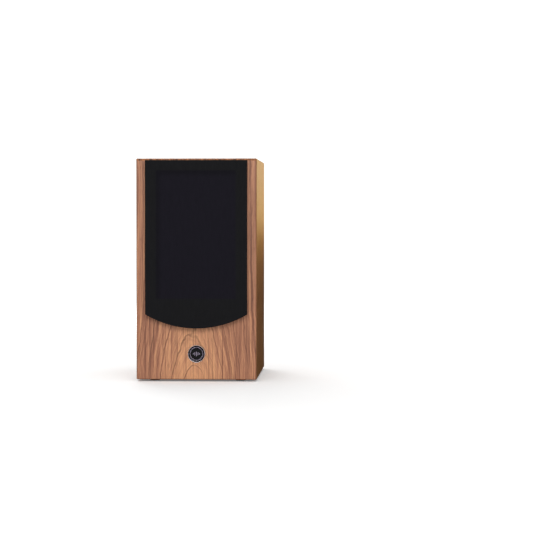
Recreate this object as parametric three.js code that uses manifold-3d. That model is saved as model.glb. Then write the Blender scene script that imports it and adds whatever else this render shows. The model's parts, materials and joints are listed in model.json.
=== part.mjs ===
// A two-way bookshelf loudspeaker with a pull-off cloth grille, a rear reflex port and two binding posts.
// Millimetres. +X is to the right, +Y is to the rear and +Z is up; the front face looks along -Y.
import * as THREE from "three";
import { ConvexGeometry } from "three/addons/geometries/ConvexGeometry.js";
import { mergeVertices } from "three/addons/utils/BufferGeometryUtils.js";
import Module from "manifold-3d";

const wasm = await Module();
wasm.setup();

// ---------------------------------------------------------------- driving dimensions
const GAP = 0.3; // glue line or seating gap between two pieces
const PAST = 1; // how far a cutting tool runs past the face that it cuts
const ROUND = 28; // segments round a large circle
const MIDDLE_ROUND = 24; // segments round a coil or a tweeter part
const SMALL_ROUND = 12; // segments round a post, a peg or a foot
const SCREW_ROUND = 8; // segments round a screw
const CORNER_STEPS = 3; // segments round a quarter of a rounded corner
const ROLL_STEPS = 5; // segments over a half roll

const foot = { radius: 9, height: 3, inset: 28 };

const cabinet = {
  width: 200,
  height: 367,
  depth: 270,
  wall: 15,
  baffle: 18,
  rear: 15,
  rearRecess: 2, // the rear panel sits this far inside the ends of the walls
  topEdgeRadius: 3.4, // roll-over along the top front edge
  edgeChamfer: 1.2,
};

const brace = { depth: 40, thickness: 12, behindBaffle: 84, aboveWoofer: 10 };
const foam = { thickness: 20, clearance: 12, behindBaffle: 66 };

const grille = {
  sideMargin: 16,
  topMargin: 3.4,
  archRise: 23,
  topBorder: 16.8, // frame above its window
  bottomBorder: 48.8, // lowest point of the arch to the window
  windowClearance: 1, // between the window's edge and the drivers' flanges
  frameDepth: 11,
  cloth: 1,
  standOff: 0.5,
};
const peg = { radius: 4, length: 10.5, tip: 1, fromTop: 26, fromCorner: 42 };
const socket = { wall: 2, flange: 1.5, flangeDepth: 1.2, floor: 1.2, endRoom: 1 };
const pegRoot = 2; // how far each peg runs into the frame

const badge = { radius: 14.5, rim: 1.3, thickness: 2.3, plateRecess: 0.9 };

const woofer = {
  flangeRadius: 65,
  flangeThickness: 4,
  flangeLand: 7, // ring of flange outside the surround's seat
  seatDepth: 2,
  lipWidth: 3.7,
  rollWidth: 8,
  skin: 0.8, // thickness of the surround, spider and dust cap
  coneThickness: 1.2,
  innerLip: 2.5,
  seatWidth: 6,
  bodyInset: 1, // the seat's edge to the outside of the basket
  bodyStraight: 7, // straight stretch behind the flange
  bodySlope: 10, // how much narrower the basket is at the magnet than behind the flange
  rearCollar: 8, // straight stretch at the magnet
  basketDepth: 48,
  basketWall: 3,
  backClearance: 7, // the winding to the hole in the basket's back
  windows: 6,
  windowWidth: 34,
  windowInset: 3, // the straight stretch to the front of the windows
  ledgeWidth: 12, // ledge that the spider is glued to
  ledgeHeight: 6.7,
  spiderInset: 2, // spider's edge to the basket's wall
  coneNeckDepth: 28,
  capRadius: 20,
  capRise: 8,
  spiderLip: 1.5, // flat stretch at the spider's inner edge
  spiderWaves: 3,
  waveHeight: 1.2,
  trimThickness: 1.1,
};
const wooferMotor = {
  plateThickness: 6,
  plateInset: 2,
  magnetRadius: 42,
  magnetBore: 21,
  magnetThickness: 15,
  yokeThickness: 6,
  yokeInset: 3,
  poleRise: 1, // the pole stands this far in front of the top plate
  ventRadius: 5,
};
const wooferCoil = {
  formerRadius: 12.2,
  formerWall: 0.5,
  windingWall: 0.8,
  windingLength: 12,
  airGap: 0.6,
  rise: 1.5, // the former stands this far in front of the cone's neck
};
const solderTabs = {
  stripWidth: 18,
  stripDepth: 7,
  stripThickness: 1.6,
  fromBack: 4, // the basket's back to the middle of the strip
  spacing: 12,
  width: 2,
  depth: 5,
  drop: 6,
};

const tweeter = {
  flangeRadius: 39,
  flangeThickness: 4,
  hornRadius: 27,
  throatClearance: 0.9, // between the surround's roll and the throat
  throatDepth: 4.5,
  collarRadius: 30,
  collarDepth: 9,
  domeRadius: 12.7,
  domeRise: 5.5,
  skin: 0.5,
  rollWidth: 3.6,
  lipWidth: 3.5,
};
const tweeterMotor = {
  plateThickness: 4,
  magnetInset: 2, // the faceplate's collar to the magnet's edge
  magnetBore: 20,
  magnetThickness: 9,
  yokeThickness: 4,
  yokeInset: 1,
};
const tweeterCoil = {
  inset: 0.1, // how far the former is inside the dome's edge
  formerWall: 0.4,
  windingWall: 0.4,
  windingStart: 0.4,
  length: 6,
  airGap: 0.5,
};

const driverSpacing = 2; // between the two flanges
const screw = {
  headRadius: 3,
  headThickness: 1.8,
  headChamfer: 0.7,
  shankRadius: 1.7,
  length: 15,
  pointLength: 3,
  socketRadius: 1.3,
  socketDepth: 1.1,
  socketFloor: 0.3, // how much deeper the socket is at its middle than at its edge
};
const wooferScrews = { count: 4, firstAngle: Math.PI / 4 };
const tweeterScrews = { count: 3, firstAngle: Math.PI / 2 };

const port = {
  bore: 22.5,
  wall: 2.5,
  length: 110,
  flangeRadius: 34,
  flangeThickness: 3,
  flangeChamfer: 1,
  flare: 8,
  fromTop: 90,
};

const cup = {
  width: 96,
  height: 78,
  corner: 8,
  bodyCorner: 7,
  flangeThickness: 3,
  flangeLand: 8,
  wall: 2,
  depth: 20,
  floor: 2.5,
  fromBottom: 105,
};
const post = {
  spacing: 30,
  studRadius: 3,
  collarRadius: 6.5,
  collarThickness: 4,
  tail: 10,
  length: 22, // cup floor to the stud's outer end
  bananaRadius: 2,
  bananaDepth: 13,
  wireHoleRadius: 1.4,
  ringThickness: 2.5,
  knobRadius: 6.8,
  knobLength: 14,
  knobLobes: 12,
  lobeDepth: 0.5,
};

const crossover = {
  width: 104,
  depth: 78,
  thickness: 1.6,
  standoff: 7, // from the bottom panel to the board
  standoffRadius: 3,
  standoffInset: 7,
  fromRear: 14, // clear space between the board and the rear panel
  coilInset: 4,
  coilRadius: 20,
  coilBore: 9,
  coilHeight: 18,
  capacitorRadius: 9,
  capacitorLength: 38,
};
const lead = { halfWidth: 2.4, halfThickness: 1.1, steps: 14, wireRadius: 0.9 };

// ---------------------------------------------------------------- places that several pieces share
const halfWidth = cabinet.width / 2;
const zBottom = foot.height;
const zTop = zBottom + cabinet.height;
const yRear = cabinet.depth - cabinet.rearRecess; // outer face of the rear panel
const yRearInner = yRear - cabinet.rear;
const xInner = halfWidth - cabinet.wall;

const grilleHalfWidth = halfWidth - grille.sideMargin;
const grilleTop = zTop - grille.topMargin;
const windowTop = grilleTop - grille.topBorder;
const tweeterZ = windowTop - grille.windowClearance - tweeter.flangeRadius;
const wooferZ = tweeterZ - tweeter.flangeRadius - driverSpacing - woofer.flangeRadius;
const windowBottom = wooferZ - woofer.flangeRadius - grille.windowClearance;
const windowHalfWidth = woofer.flangeRadius + grille.windowClearance;
const grilleLow = windowBottom - grille.bottomBorder;
const grilleCorner = grilleLow + grille.archRise;
const pegX = (grilleHalfWidth + windowHalfWidth) / 2;
const pegHeights = [grilleTop - peg.fromTop, grilleCorner + peg.fromCorner];
const badgeZ = (zBottom + grilleLow) / 2;
const portZ = zTop - port.fromTop;
const cupZ = zBottom + cup.fromBottom;
const yCupFloor = yRear - cup.depth;

const seatRadius = woofer.flangeRadius - woofer.flangeLand; // the surround's seat in the basket
const rollOuter = seatRadius - GAP - woofer.lipWidth;
const rollInner = rollOuter - woofer.rollWidth;
const basketBody = seatRadius - woofer.bodyInset; // outside of the basket behind its flange
const basketRear = basketBody - woofer.bodySlope; // outside of its narrow rear end
const basketInner = basketRear - woofer.basketWall;
const ledgeRadius = basketInner - woofer.ledgeWidth;
const formerOuter = wooferCoil.formerRadius + wooferCoil.formerWall;
const windingOuter = formerOuter + wooferCoil.windingWall;
const yBasketFront = GAP;
const yLip = yBasketFront + woofer.seatDepth - GAP - woofer.skin; // front of the surround's lips
const yPlate = yBasketFront + woofer.basketDepth + GAP; // front of the woofer's top plate
const yMagnet = yPlate + wooferMotor.plateThickness + GAP;
const yYoke = yMagnet + wooferMotor.magnetThickness + GAP;

const throatRadius = tweeter.domeRadius + GAP + tweeter.rollWidth + tweeter.throatClearance;
const yTweeterLip = yBasketFront + tweeter.collarDepth + GAP;
const yTweeterPlate = yTweeterLip + tweeter.skin + GAP;
const yTweeterMagnet = yTweeterPlate + tweeterMotor.plateThickness + GAP;
const yTweeterYoke = yTweeterMagnet + tweeterMotor.magnetThickness + GAP;

const zBoard = zBottom + cabinet.wall + crossover.standoff;
const yBoard = yRearInner - crossover.fromRear - crossover.depth / 2;

// ---------------------------------------------------------------- geometry helpers
function toSolid(geometry) {
  const bare = geometry.clone();
  bare.deleteAttribute("normal");
  bare.deleteAttribute("uv");
  const merged = mergeVertices(bare, 1e-4);
  const mesh = new wasm.Mesh({
    numProp: 3,
    vertProperties: merged.attributes.position.array,
    triVerts: new Uint32Array(merged.index.array),
  });
  return new wasm.Manifold(mesh);
}

function toGeometry(solid) {
  const mesh = solid.getMesh();
  return new THREE.BufferGeometry()
    .setAttribute("position", new THREE.BufferAttribute(mesh.vertProperties, 3))
    .setIndex(new THREE.BufferAttribute(mesh.triVerts, 1));
}

function cut(body, ...tools) {
  return toGeometry(tools.reduce((left, tool) => left.subtract(toSolid(tool)), toSolid(body)));
}

function join(body, ...others) {
  return toGeometry(others.reduce((made, other) => made.add(toSolid(other)), toSolid(body)));
}

function common(body, other) {
  return toGeometry(toSolid(body).intersect(toSolid(other)));
}

// A body turned about the Y axis. The outline is a list of [radius, y]; it closes on itself unless both
// of its ends are on the axis.
function turned(outline, segments = ROUND) {
  const points = outline.map(([radius, y]) => new THREE.Vector2(radius, y));
  if (THREE.ShapeUtils.area(points) < 0) points.reverse();
  const onAxis = points[0].x === 0 && points[points.length - 1].x === 0;
  if (!onAxis) points.push(points[0].clone());
  return new THREE.LatheGeometry(points, segments);
}

function disc(radius, y0, y1, segments = ROUND) {
  return new THREE.CylinderGeometry(radius, radius, y1 - y0, segments).translate(0, (y0 + y1) / 2, 0);
}

// A cylinder that stands along Z, centred on the origin.
function upright(radius, height, segments) {
  return new THREE.CylinderGeometry(radius, radius, height, segments).rotateX(Math.PI / 2);
}

function ring(outer, inner, y0, y1, segments = ROUND) {
  return turned([[inner, y0], [outer, y0], [outer, y1], [inner, y1]], segments);
}

function box(x0, x1, y0, y1, z0, z1) {
  return new THREE.BoxGeometry(x1 - x0, y1 - y0, z1 - z0)
    .translate((x0 + x1) / 2, (y0 + y1) / 2, (z0 + z1) / 2);
}

// A plate whose outline is drawn in X and Z and whose thickness runs from y0 to y1.
function plate(shape, y0, y1, curveSegments = 24) {
  return new THREE.ExtrudeGeometry(shape, { depth: y1 - y0, bevelEnabled: false, curveSegments })
    .rotateX(Math.PI / 2)
    .translate(0, y1, 0);
}

// A convex board given by the corners of its outer face and of its smaller inner face.
function board(outer, inner) {
  return new ConvexGeometry([...outer, ...inner].map((corner) => new THREE.Vector3(...corner)));
}

// Points on an arc, for use in a turned outline.
function arc(centreRadius, centreY, radius, from, to, steps) {
  return Array.from({ length: steps + 1 }, (_, i) => {
    const angle = from + ((to - from) * i) / steps;
    return [centreRadius + radius * Math.cos(angle), centreY + radius * Math.sin(angle)];
  });
}

// ---------------------------------------------------------------- cabinet
// The outside of the whole cabinet: every edge is chamfered and the top front edge is rolled over.
function cabinetEnvelope() {
  const middle = new THREE.Vector3(0, cabinet.depth / 2, (zBottom + zTop) / 2);
  const half = new THREE.Vector3(cabinet.width, cabinet.depth, cabinet.height).multiplyScalar(0.5);
  const c = cabinet.edgeChamfer;
  const corners = [];
  for (const sx of [-1, 1]) {
    for (const sy of [-1, 1]) {
      for (const sz of [-1, 1]) {
        const sign = new THREE.Vector3(sx, sy, sz);
        for (const kept of [[0, c, c], [c, 0, c], [c, c, 0]]) {
          const reach = half.clone().sub(new THREE.Vector3(...kept));
          corners.push(reach.multiply(sign).add(middle));
        }
      }
    }
  }
  const r = cabinet.topEdgeRadius;
  const profile = [
    [0, zBottom],
    [cabinet.depth, zBottom],
    [cabinet.depth, zTop],
    ...arc(r, zTop - r, r, Math.PI / 2, Math.PI, 4),
  ];
  const rolled = [-halfWidth, halfWidth].flatMap((x) => profile.map(([y, z]) => new THREE.Vector3(x, y, z)));
  return common(new ConvexGeometry(corners), new ConvexGeometry(rolled));
}
const envelope = cabinetEnvelope();

// Corners of a rectangle that lies across the given axis, at one place on it.
function rectangle(axis, at, [a0, a1], [b0, b1]) {
  const place = { x: (a, b) => [at, a, b], y: (a, b) => [a, at, b], z: (a, b) => [a, b, at] }[axis];
  return [place(a0, b0), place(a1, b0), place(a1, b1), place(a0, b1)];
}

function sidePanel(side) {
  const outer = rectangle("x", side * halfWidth, [GAP, cabinet.depth], [zBottom + GAP, zTop - GAP]);
  const z = [zBottom + cabinet.wall + GAP, zTop - cabinet.wall - GAP];
  const inner = rectangle("x", side * xInner, [cabinet.baffle + GAP, cabinet.depth], z);
  return common(board(outer, inner), envelope);
}

function levelPanel(z, zInner) {
  const outer = rectangle("z", z, [-halfWidth, halfWidth], [GAP, cabinet.depth]);
  const inner = rectangle("z", zInner, [-xInner, xInner], [cabinet.baffle + GAP, cabinet.depth]);
  return common(board(outer, inner), envelope);
}

function at(geometry, x, z) {
  return geometry.clone().translate(x, 0, z);
}

function screwPlaces(pattern, radius) {
  return Array.from({ length: pattern.count }, (_, i) => {
    const angle = pattern.firstAngle + (2 * Math.PI * i) / pattern.count;
    return [radius * Math.cos(angle), radius * Math.sin(angle)];
  });
}
const wooferScrewPlaces = screwPlaces(wooferScrews, woofer.flangeRadius - woofer.flangeLand / 2);
const tweeterScrewPlaces = screwPlaces(tweeterScrews, (tweeter.flangeRadius + tweeter.hornRadius) / 2);
const socketBore = peg.radius + GAP;
const socketBody = socketBore + socket.wall;
const socketFlange = socketBody + socket.flange;
const socketDepth = peg.length + socket.endRoom + socket.floor;
const socketPlaces = pegHeights.flatMap((z) => [[-pegX, z], [pegX, z]]);

// A stepped hole: a shallow wide pocket with a narrower hole behind it.
function pocket(wide, wideDepth, narrow, narrowDepth, segments = ROUND) {
  const front = [[0, -PAST], [wide, -PAST], [wide, wideDepth]];
  return turned([...front, [narrow, wideDepth], [narrow, narrowDepth], [0, narrowDepth]], segments);
}

function frontBaffle() {
  const outer = rectangle("y", 0, [-halfWidth, halfWidth], [zBottom, zTop]);
  const z = [zBottom + cabinet.wall, zTop - cabinet.wall];
  const inner = rectangle("y", cabinet.baffle, [-xInner, xInner], z);
  const through = cabinet.baffle + PAST;
  const wooferSeat = yBasketFront + woofer.flangeThickness + GAP;
  const tweeterSeat = yBasketFront + tweeter.flangeThickness + GAP;
  const pilot = disc(screw.shankRadius + GAP, 0, through, SCREW_ROUND);
  const socketSeat = socket.flangeDepth + 2 * GAP;
  const socketEnd = socketDepth + 2 * GAP;
  const socketHole = pocket(socketFlange + GAP, socketSeat, socketBody + GAP, socketEnd, SMALL_ROUND);
  const holes = [
    at(pocket(woofer.flangeRadius + GAP, wooferSeat, basketBody + GAP, through), 0, wooferZ),
    at(pocket(tweeter.flangeRadius + GAP, tweeterSeat, tweeter.collarRadius + GAP, through), 0, tweeterZ),
    ...wooferScrewPlaces.map(([x, z]) => at(pilot, x, wooferZ + z)),
    ...tweeterScrewPlaces.map(([x, z]) => at(pilot, x, tweeterZ + z)),
    ...socketPlaces.map(([x, z]) => at(socketHole, x, z)),
  ];
  return cut(common(board(outer, inner), envelope), ...holes);
}

function roundedRectangle(width, height, corner) {
  const [x, z] = [width / 2, height / 2];
  const shape = new THREE.Shape().moveTo(-x + corner, -z).lineTo(x - corner, -z);
  shape.absarc(x - corner, -z + corner, corner, -Math.PI / 2, 0);
  shape.absarc(x - corner, z - corner, corner, 0, Math.PI / 2);
  shape.absarc(-x + corner, z - corner, corner, Math.PI / 2, Math.PI);
  shape.absarc(-x + corner, -z + corner, corner, Math.PI, 1.5 * Math.PI);
  return shape;
}
const cupBodyWidth = cup.width - 2 * cup.flangeLand;
const cupBodyHeight = cup.height - 2 * cup.flangeLand;

function rearPanel() {
  const xEdge = xInner - GAP;
  const [z0, z1] = [zBottom + cabinet.wall + GAP, zTop - cabinet.wall - GAP];
  const panel = box(-xEdge, xEdge, yRearInner, yRear, z0, z1);
  const [y0, y1] = [yRearInner - PAST, yRear + PAST];
  const portHole = disc(port.bore + port.wall + GAP, y0, y1);
  const cutOut = roundedRectangle(cupBodyWidth + 2 * GAP, cupBodyHeight + 2 * GAP, cup.bodyCorner + GAP);
  return cut(panel, at(portHole, 0, portZ), at(plate(cutOut, y0, y1, CORNER_STEPS), 0, cupZ));
}

const yBrace = cabinet.baffle + brace.behindBaffle;
const zBrace = wooferZ + brace.aboveWoofer;

function crossBrace() {
  const xEnd = xInner - GAP;
  return box(-xEnd, xEnd, yBrace, yBrace + brace.depth, zBrace, zBrace + brace.thickness);
}

// A slab of damping foam on a side wall, notched round the brace.
function dampingFoam(side) {
  const xs = [side * (xInner - GAP), side * (xInner - GAP - foam.thickness)].sort((a, b) => a - b);
  const z0 = zBottom + cabinet.wall + foam.clearance;
  const z1 = zTop - cabinet.wall - foam.clearance;
  const slab = box(...xs, cabinet.baffle + foam.behindBaffle, yRearInner - foam.clearance, z0, z1);
  const [y0, y1] = [yBrace - GAP, yBrace + brace.depth + GAP];
  return cut(slab, box(-halfWidth, halfWidth, y0, y1, zBrace - GAP, zBrace + brace.thickness + GAP));
}

// ---------------------------------------------------------------- grille
// The grille's outline: straight sides and top, and a bottom edge that bows down in one arc.
function archedOutline() {
  const radius = (grilleHalfWidth ** 2 + grille.archRise ** 2) / (2 * grille.archRise);
  const sweep = Math.asin(grilleHalfWidth / radius);
  const [left, right] = [-grilleHalfWidth, grilleHalfWidth];
  const shape = new THREE.Shape().moveTo(left, grilleCorner);
  shape.lineTo(left, grilleTop).lineTo(right, grilleTop).lineTo(right, grilleCorner);
  shape.absarc(0, grilleLow + radius, radius, -Math.PI / 2 + sweep, -Math.PI / 2 - sweep, true);
  return shape;
}
const yFrameRear = -grille.standOff;
const yFrameFront = yFrameRear - grille.frameDepth;
const yClothRear = yFrameFront - GAP;
const yFront = yClothRear - grille.cloth; // foremost plane of the whole speaker

function grilleFrame() {
  const shape = archedOutline();
  const w = windowHalfWidth;
  const window = new THREE.Path().moveTo(-w, windowBottom).lineTo(w, windowBottom);
  window.lineTo(w, windowTop).lineTo(-w, windowTop).closePath();
  shape.holes.push(window);
  const shank = disc(peg.radius, yFrameRear - pegRoot, peg.length - peg.tip, SMALL_ROUND);
  const tip = new THREE.CylinderGeometry(peg.radius - peg.tip, peg.radius, peg.tip, SMALL_ROUND)
    .translate(0, peg.length - peg.tip / 2, 0);
  const pegs = socketPlaces.map(([x, z]) => at(join(shank, tip), x, z));
  return join(plate(shape, yFrameFront, yFrameRear), ...pegs);
}

function grilleSocket() {
  return turned(
    [
      [0, socketDepth + GAP],
      [socketBody, socketDepth + GAP],
      [socketBody, socket.flangeDepth + GAP],
      [socketFlange, socket.flangeDepth + GAP],
      [socketFlange, GAP],
      [socketBore, GAP],
      [socketBore, socketDepth + GAP - socket.floor],
      [0, socketDepth + GAP - socket.floor],
    ],
    SMALL_ROUND,
  );
}

// ---------------------------------------------------------------- woofer
const coneNeck = formerOuter + GAP;

// How far back the cone's front face is at a radius; the cone is slightly curved.
function coneFront(radius) {
  const share = (rollInner - radius) / (rollInner - coneNeck);
  const edge = yLip + woofer.skin + GAP;
  return edge + (woofer.coneNeckDepth - edge) * share ** 1.2;
}

function wooferBasket() {
  const back = yBasketFront + woofer.basketDepth;
  const backHole = windingOuter + woofer.backClearance;
  const seat = [seatRadius - woofer.seatWidth, yBasketFront + woofer.seatDepth];
  const bodyStart = yBasketFront + woofer.flangeThickness;
  const straight = bodyStart + woofer.bodyStraight;
  const slopeEnd = back - woofer.rearCollar;
  const ledge = back - woofer.basketWall - woofer.ledgeHeight;
  const wallAt = (y) => {
    const share = Math.min(1, Math.max(0, (y - straight) / (slopeEnd - straight)));
    return basketBody - woofer.basketWall - share * woofer.bodySlope;
  };
  const body = turned([
    seat,
    [seatRadius, seat[1]],
    [seatRadius, yBasketFront],
    [woofer.flangeRadius, yBasketFront],
    [woofer.flangeRadius, bodyStart],
    [basketBody, bodyStart],
    [basketBody, straight],
    [basketRear, slopeEnd],
    [basketRear, back],
    [backHole, back],
    [backHole, back - woofer.basketWall],
    [ledgeRadius, back - woofer.basketWall],
    [ledgeRadius, ledge],
    [wallAt(ledge), ledge],
    [wallAt(straight), straight],
    [wallAt(straight), bodyStart],
    [seat[0], bodyStart],
  ]);
  const halfSlot = woofer.windowWidth / 2;
  const slot = box(0, woofer.flangeRadius, straight + woofer.windowInset, ledge - PAST, -halfSlot, halfSlot);
  const windows = Array.from({ length: woofer.windows }, (_, i) =>
    slot.clone().rotateY((2 * Math.PI * (i + 0.5)) / woofer.windows),
  );
  const hole = disc(screw.shankRadius + GAP, 0, bodyStart + PAST, SCREW_ROUND);
  return cut(body, ...windows, ...wooferScrewPlaces.map(([x, z]) => at(hole, x, z)));
}

// Half-roll surround between the basket's seat and the cone's edge.
function wooferSurround() {
  const middle = (rollOuter + rollInner) / 2;
  const half = woofer.rollWidth / 2;
  const rear = yLip + woofer.skin;
  return turned([
    [rollInner - woofer.innerLip, rear],
    [rollInner - woofer.innerLip, yLip],
    ...arc(middle, yLip, half, -Math.PI, 0, ROLL_STEPS),
    [seatRadius - GAP, yLip],
    [seatRadius - GAP, rear],
    [rollOuter - woofer.skin, rear],
    ...arc(middle, yLip, half - woofer.skin, 0, -Math.PI, ROLL_STEPS - 2),
    [rollInner + woofer.skin, rear],
  ]);
}

function wooferTrimRing() {
  return ring(seatRadius - GAP, rollOuter + GAP, yLip - GAP - woofer.trimThickness, yLip - GAP);
}

function wooferCone() {
  const steps = 5;
  const radii = Array.from({ length: steps + 1 }, (_, i) => coneNeck + ((rollInner - coneNeck) * i) / steps);
  const front = radii.map((r) => [r, coneFront(r)]);
  return turned([...front, ...front.map(([r, y]) => [r, y + woofer.coneThickness]).reverse()]);
}

// A thin spherical dome that bulges to the front from its edge.
function domeShell(radius, rise, skin, yEdge, segments) {
  const steps = 4;
  const sphere = (radius ** 2 + rise ** 2) / (2 * rise);
  const half = Math.asin(radius / sphere);
  const centre = yEdge - rise + sphere;
  const outer = arc(0, centre, sphere, -Math.PI / 2, -Math.PI / 2 + half, steps);
  const inner = arc(0, centre, sphere - skin, -Math.PI / 2 + half, -Math.PI / 2, steps);
  outer[0][0] = 0;
  inner[inner.length - 1][0] = 0;
  return turned([...outer, ...inner], segments);
}

function wooferVoiceCoil() {
  const start = coneFront(coneNeck) - wooferCoil.rise;
  const middle = yPlate + wooferMotor.plateThickness / 2;
  const [w0, w1] = [middle - wooferCoil.windingLength / 2, middle + wooferCoil.windingLength / 2];
  return turned(
    [
      [wooferCoil.formerRadius, start],
      [formerOuter, start],
      [formerOuter, w0],
      [windingOuter, w0],
      [windingOuter, w1],
      [wooferCoil.formerRadius, w1],
    ],
    MIDDLE_ROUND,
  );
}

// The spider, a disc with concentric waves between the voice coil and the basket's inner ledge.
function wooferSpider() {
  const ledge = yBasketFront + woofer.basketDepth - woofer.basketWall - woofer.ledgeHeight;
  const rest = ledge - GAP - woofer.skin;
  const [waveStart, waveEnd] = [coneNeck + woofer.spiderLip, ledgeRadius - woofer.spiderLip];
  const turns = 2 * woofer.spiderWaves;
  const waves = Array.from({ length: turns + 1 }, (_, i) => {
    const radius = waveStart + ((waveEnd - waveStart) * i) / turns;
    return [radius, rest - (i % 2) * woofer.waveHeight];
  });
  const crest = [[coneNeck, rest], ...waves, [basketInner - woofer.spiderInset, rest]];
  return turned([...crest, ...crest.map(([r, y]) => [r, y + woofer.skin]).reverse()], MIDDLE_ROUND);
}

function wooferYoke() {
  const pole = wooferCoil.formerRadius - wooferCoil.airGap;
  const [front, rear] = [yPlate - wooferMotor.poleRise, yYoke + wooferMotor.yokeThickness];
  const rim = wooferMotor.magnetRadius - wooferMotor.yokeInset;
  const vent = wooferMotor.ventRadius;
  return turned([[vent, front], [pole, front], [pole, yYoke], [rim, yYoke], [rim, rear], [vent, rear]]);
}

// Terminal strip under the basket's rear rim, with two solder tabs that point down.
function wooferTerminal() {
  const { stripWidth, stripDepth, stripThickness, spacing, width, depth, drop } = solderTabs;
  const strip = box(-stripWidth / 2, stripWidth / 2, -stripDepth / 2, stripDepth / 2, -stripThickness, 0);
  const tab = box(-width / 2, width / 2, -depth / 2, depth / 2, -drop, -stripThickness / 2);
  return join(strip, at(tab, -spacing / 2, 0), at(tab, spacing / 2, 0));
}

// ---------------------------------------------------------------- tweeter
function tweeterFaceplate() {
  const front = yBasketFront;
  const throat = front + tweeter.throatDepth;
  const steps = 4;
  const horn = Array.from({ length: steps + 1 }, (_, i) => {
    const share = i / steps;
    return [
      throatRadius + (tweeter.hornRadius - throatRadius) * share,
      throat - tweeter.throatDepth * Math.sin((share * Math.PI) / 2),
    ];
  });
  const seat = front + tweeter.flangeThickness;
  const rear = front + tweeter.collarDepth;
  const body = turned([
    ...horn,
    [tweeter.flangeRadius, front],
    [tweeter.flangeRadius, seat],
    [tweeter.collarRadius, seat],
    [tweeter.collarRadius, rear],
    [throatRadius, rear],
  ]);
  const hole = disc(screw.shankRadius + GAP, 0, rear + PAST, SCREW_ROUND);
  return cut(body, ...tweeterScrewPlaces.map(([x, z]) => at(hole, x, z)));
}

function tweeterSurround() {
  const inner = tweeter.domeRadius + GAP;
  const outer = inner + tweeter.rollWidth;
  const rear = yTweeterLip + tweeter.skin;
  const half = tweeter.rollWidth / 2;
  return turned(
    [
      [inner, rear],
      ...arc(inner + half, yTweeterLip, half, -Math.PI, 0, ROLL_STEPS - 1),
      [outer + tweeter.lipWidth, yTweeterLip],
      [outer + tweeter.lipWidth, rear],
      [outer - tweeter.skin, rear],
      ...arc(inner + half, yTweeterLip, half - tweeter.skin, 0, -Math.PI, ROLL_STEPS - 2),
      [inner + tweeter.skin, rear],
    ],
    MIDDLE_ROUND,
  );
}

const tweeterFormer = tweeter.domeRadius - tweeterCoil.inset; // outside of the voice coil's former

function tweeterVoiceCoil() {
  const outer = tweeterFormer;
  const former = outer - tweeterCoil.formerWall;
  const start = yTweeterPlate;
  const winding = start + tweeterCoil.windingStart;
  const end = start + tweeterCoil.length;
  return turned(
    [
      [former, start],
      [outer, start],
      [outer, winding],
      [outer + tweeterCoil.windingWall, winding],
      [outer + tweeterCoil.windingWall, end],
      [former, end],
    ],
    MIDDLE_ROUND,
  );
}
const tweeterPlateBore = tweeterFormer + tweeterCoil.windingWall + tweeterCoil.airGap;
const tweeterMagnetRadius = tweeter.collarRadius - tweeterMotor.magnetInset;

function tweeterYoke() {
  const pole = tweeterFormer - tweeterCoil.formerWall - tweeterCoil.airGap;
  const [front, step, rear] = [yTweeterPlate, yTweeterYoke, yTweeterYoke + tweeterMotor.yokeThickness];
  const rim = tweeterMagnetRadius - tweeterMotor.yokeInset;
  return turned([[0, front], [pole, front], [pole, step], [rim, step], [rim, rear], [0, rear]], MIDDLE_ROUND);
}

// ---------------------------------------------------------------- fasteners, port and terminals
function woodScrew() {
  const end = screw.headThickness + screw.length;
  return turned(
    [
      [0, screw.socketDepth],
      [screw.socketRadius, screw.socketDepth - screw.socketFloor],
      [screw.socketRadius, 0],
      [screw.headRadius - screw.headChamfer, 0],
      [screw.headRadius, screw.headChamfer],
      [screw.headRadius, screw.headThickness],
      [screw.shankRadius, screw.headThickness],
      [screw.shankRadius, end - screw.pointLength],
      [0, end],
    ],
    SCREW_ROUND,
  );
}

function portTube() {
  const mouth = yRear + GAP + port.flangeThickness;
  const [flareX, flareY] = [port.bore + port.flare, mouth - port.flare];
  const flare = arc(flareX, flareY, port.flare, Math.PI, Math.PI / 2, ROLL_STEPS - 1);
  const tube = port.bore + port.wall;
  const inner = mouth - port.length;
  return turned([
    [port.bore, inner],
    ...flare,
    [port.flangeRadius - port.flangeChamfer, mouth],
    [port.flangeRadius, mouth - port.flangeChamfer],
    [port.flangeRadius, yRear + GAP],
    [tube, yRear + GAP],
    [tube, inner],
  ]);
}

// Moulded cup with a flange outside the rear panel and a recess that holds both posts.
function terminalCup() {
  const [flangeStart, flangeEnd] = [yRear + GAP, yRear + GAP + cup.flangeThickness];
  const outline = roundedRectangle(cup.width, cup.height, cup.corner);
  const body = roundedRectangle(cupBodyWidth, cupBodyHeight, cup.bodyCorner);
  const [innerWidth, innerHeight] = [cupBodyWidth - 2 * cup.wall, cupBodyHeight - 2 * cup.wall];
  const inner = roundedRectangle(innerWidth, innerHeight, cup.bodyCorner - cup.wall);
  const back = yCupFloor - cup.floor;
  const flange = plate(outline, flangeStart, flangeEnd, CORNER_STEPS + 1);
  const shell = plate(body, back, flangeStart + PAST, CORNER_STEPS);
  const recess = plate(inner, yCupFloor, flangeEnd + PAST, CORNER_STEPS);
  const hole = disc(post.studRadius + GAP, back - PAST, yCupFloor + PAST, SMALL_ROUND);
  const holes = [-1, 1].map((side) => at(hole, (side * post.spacing) / 2, 0));
  return cut(join(flange, shell), recess, ...holes);
}

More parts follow.
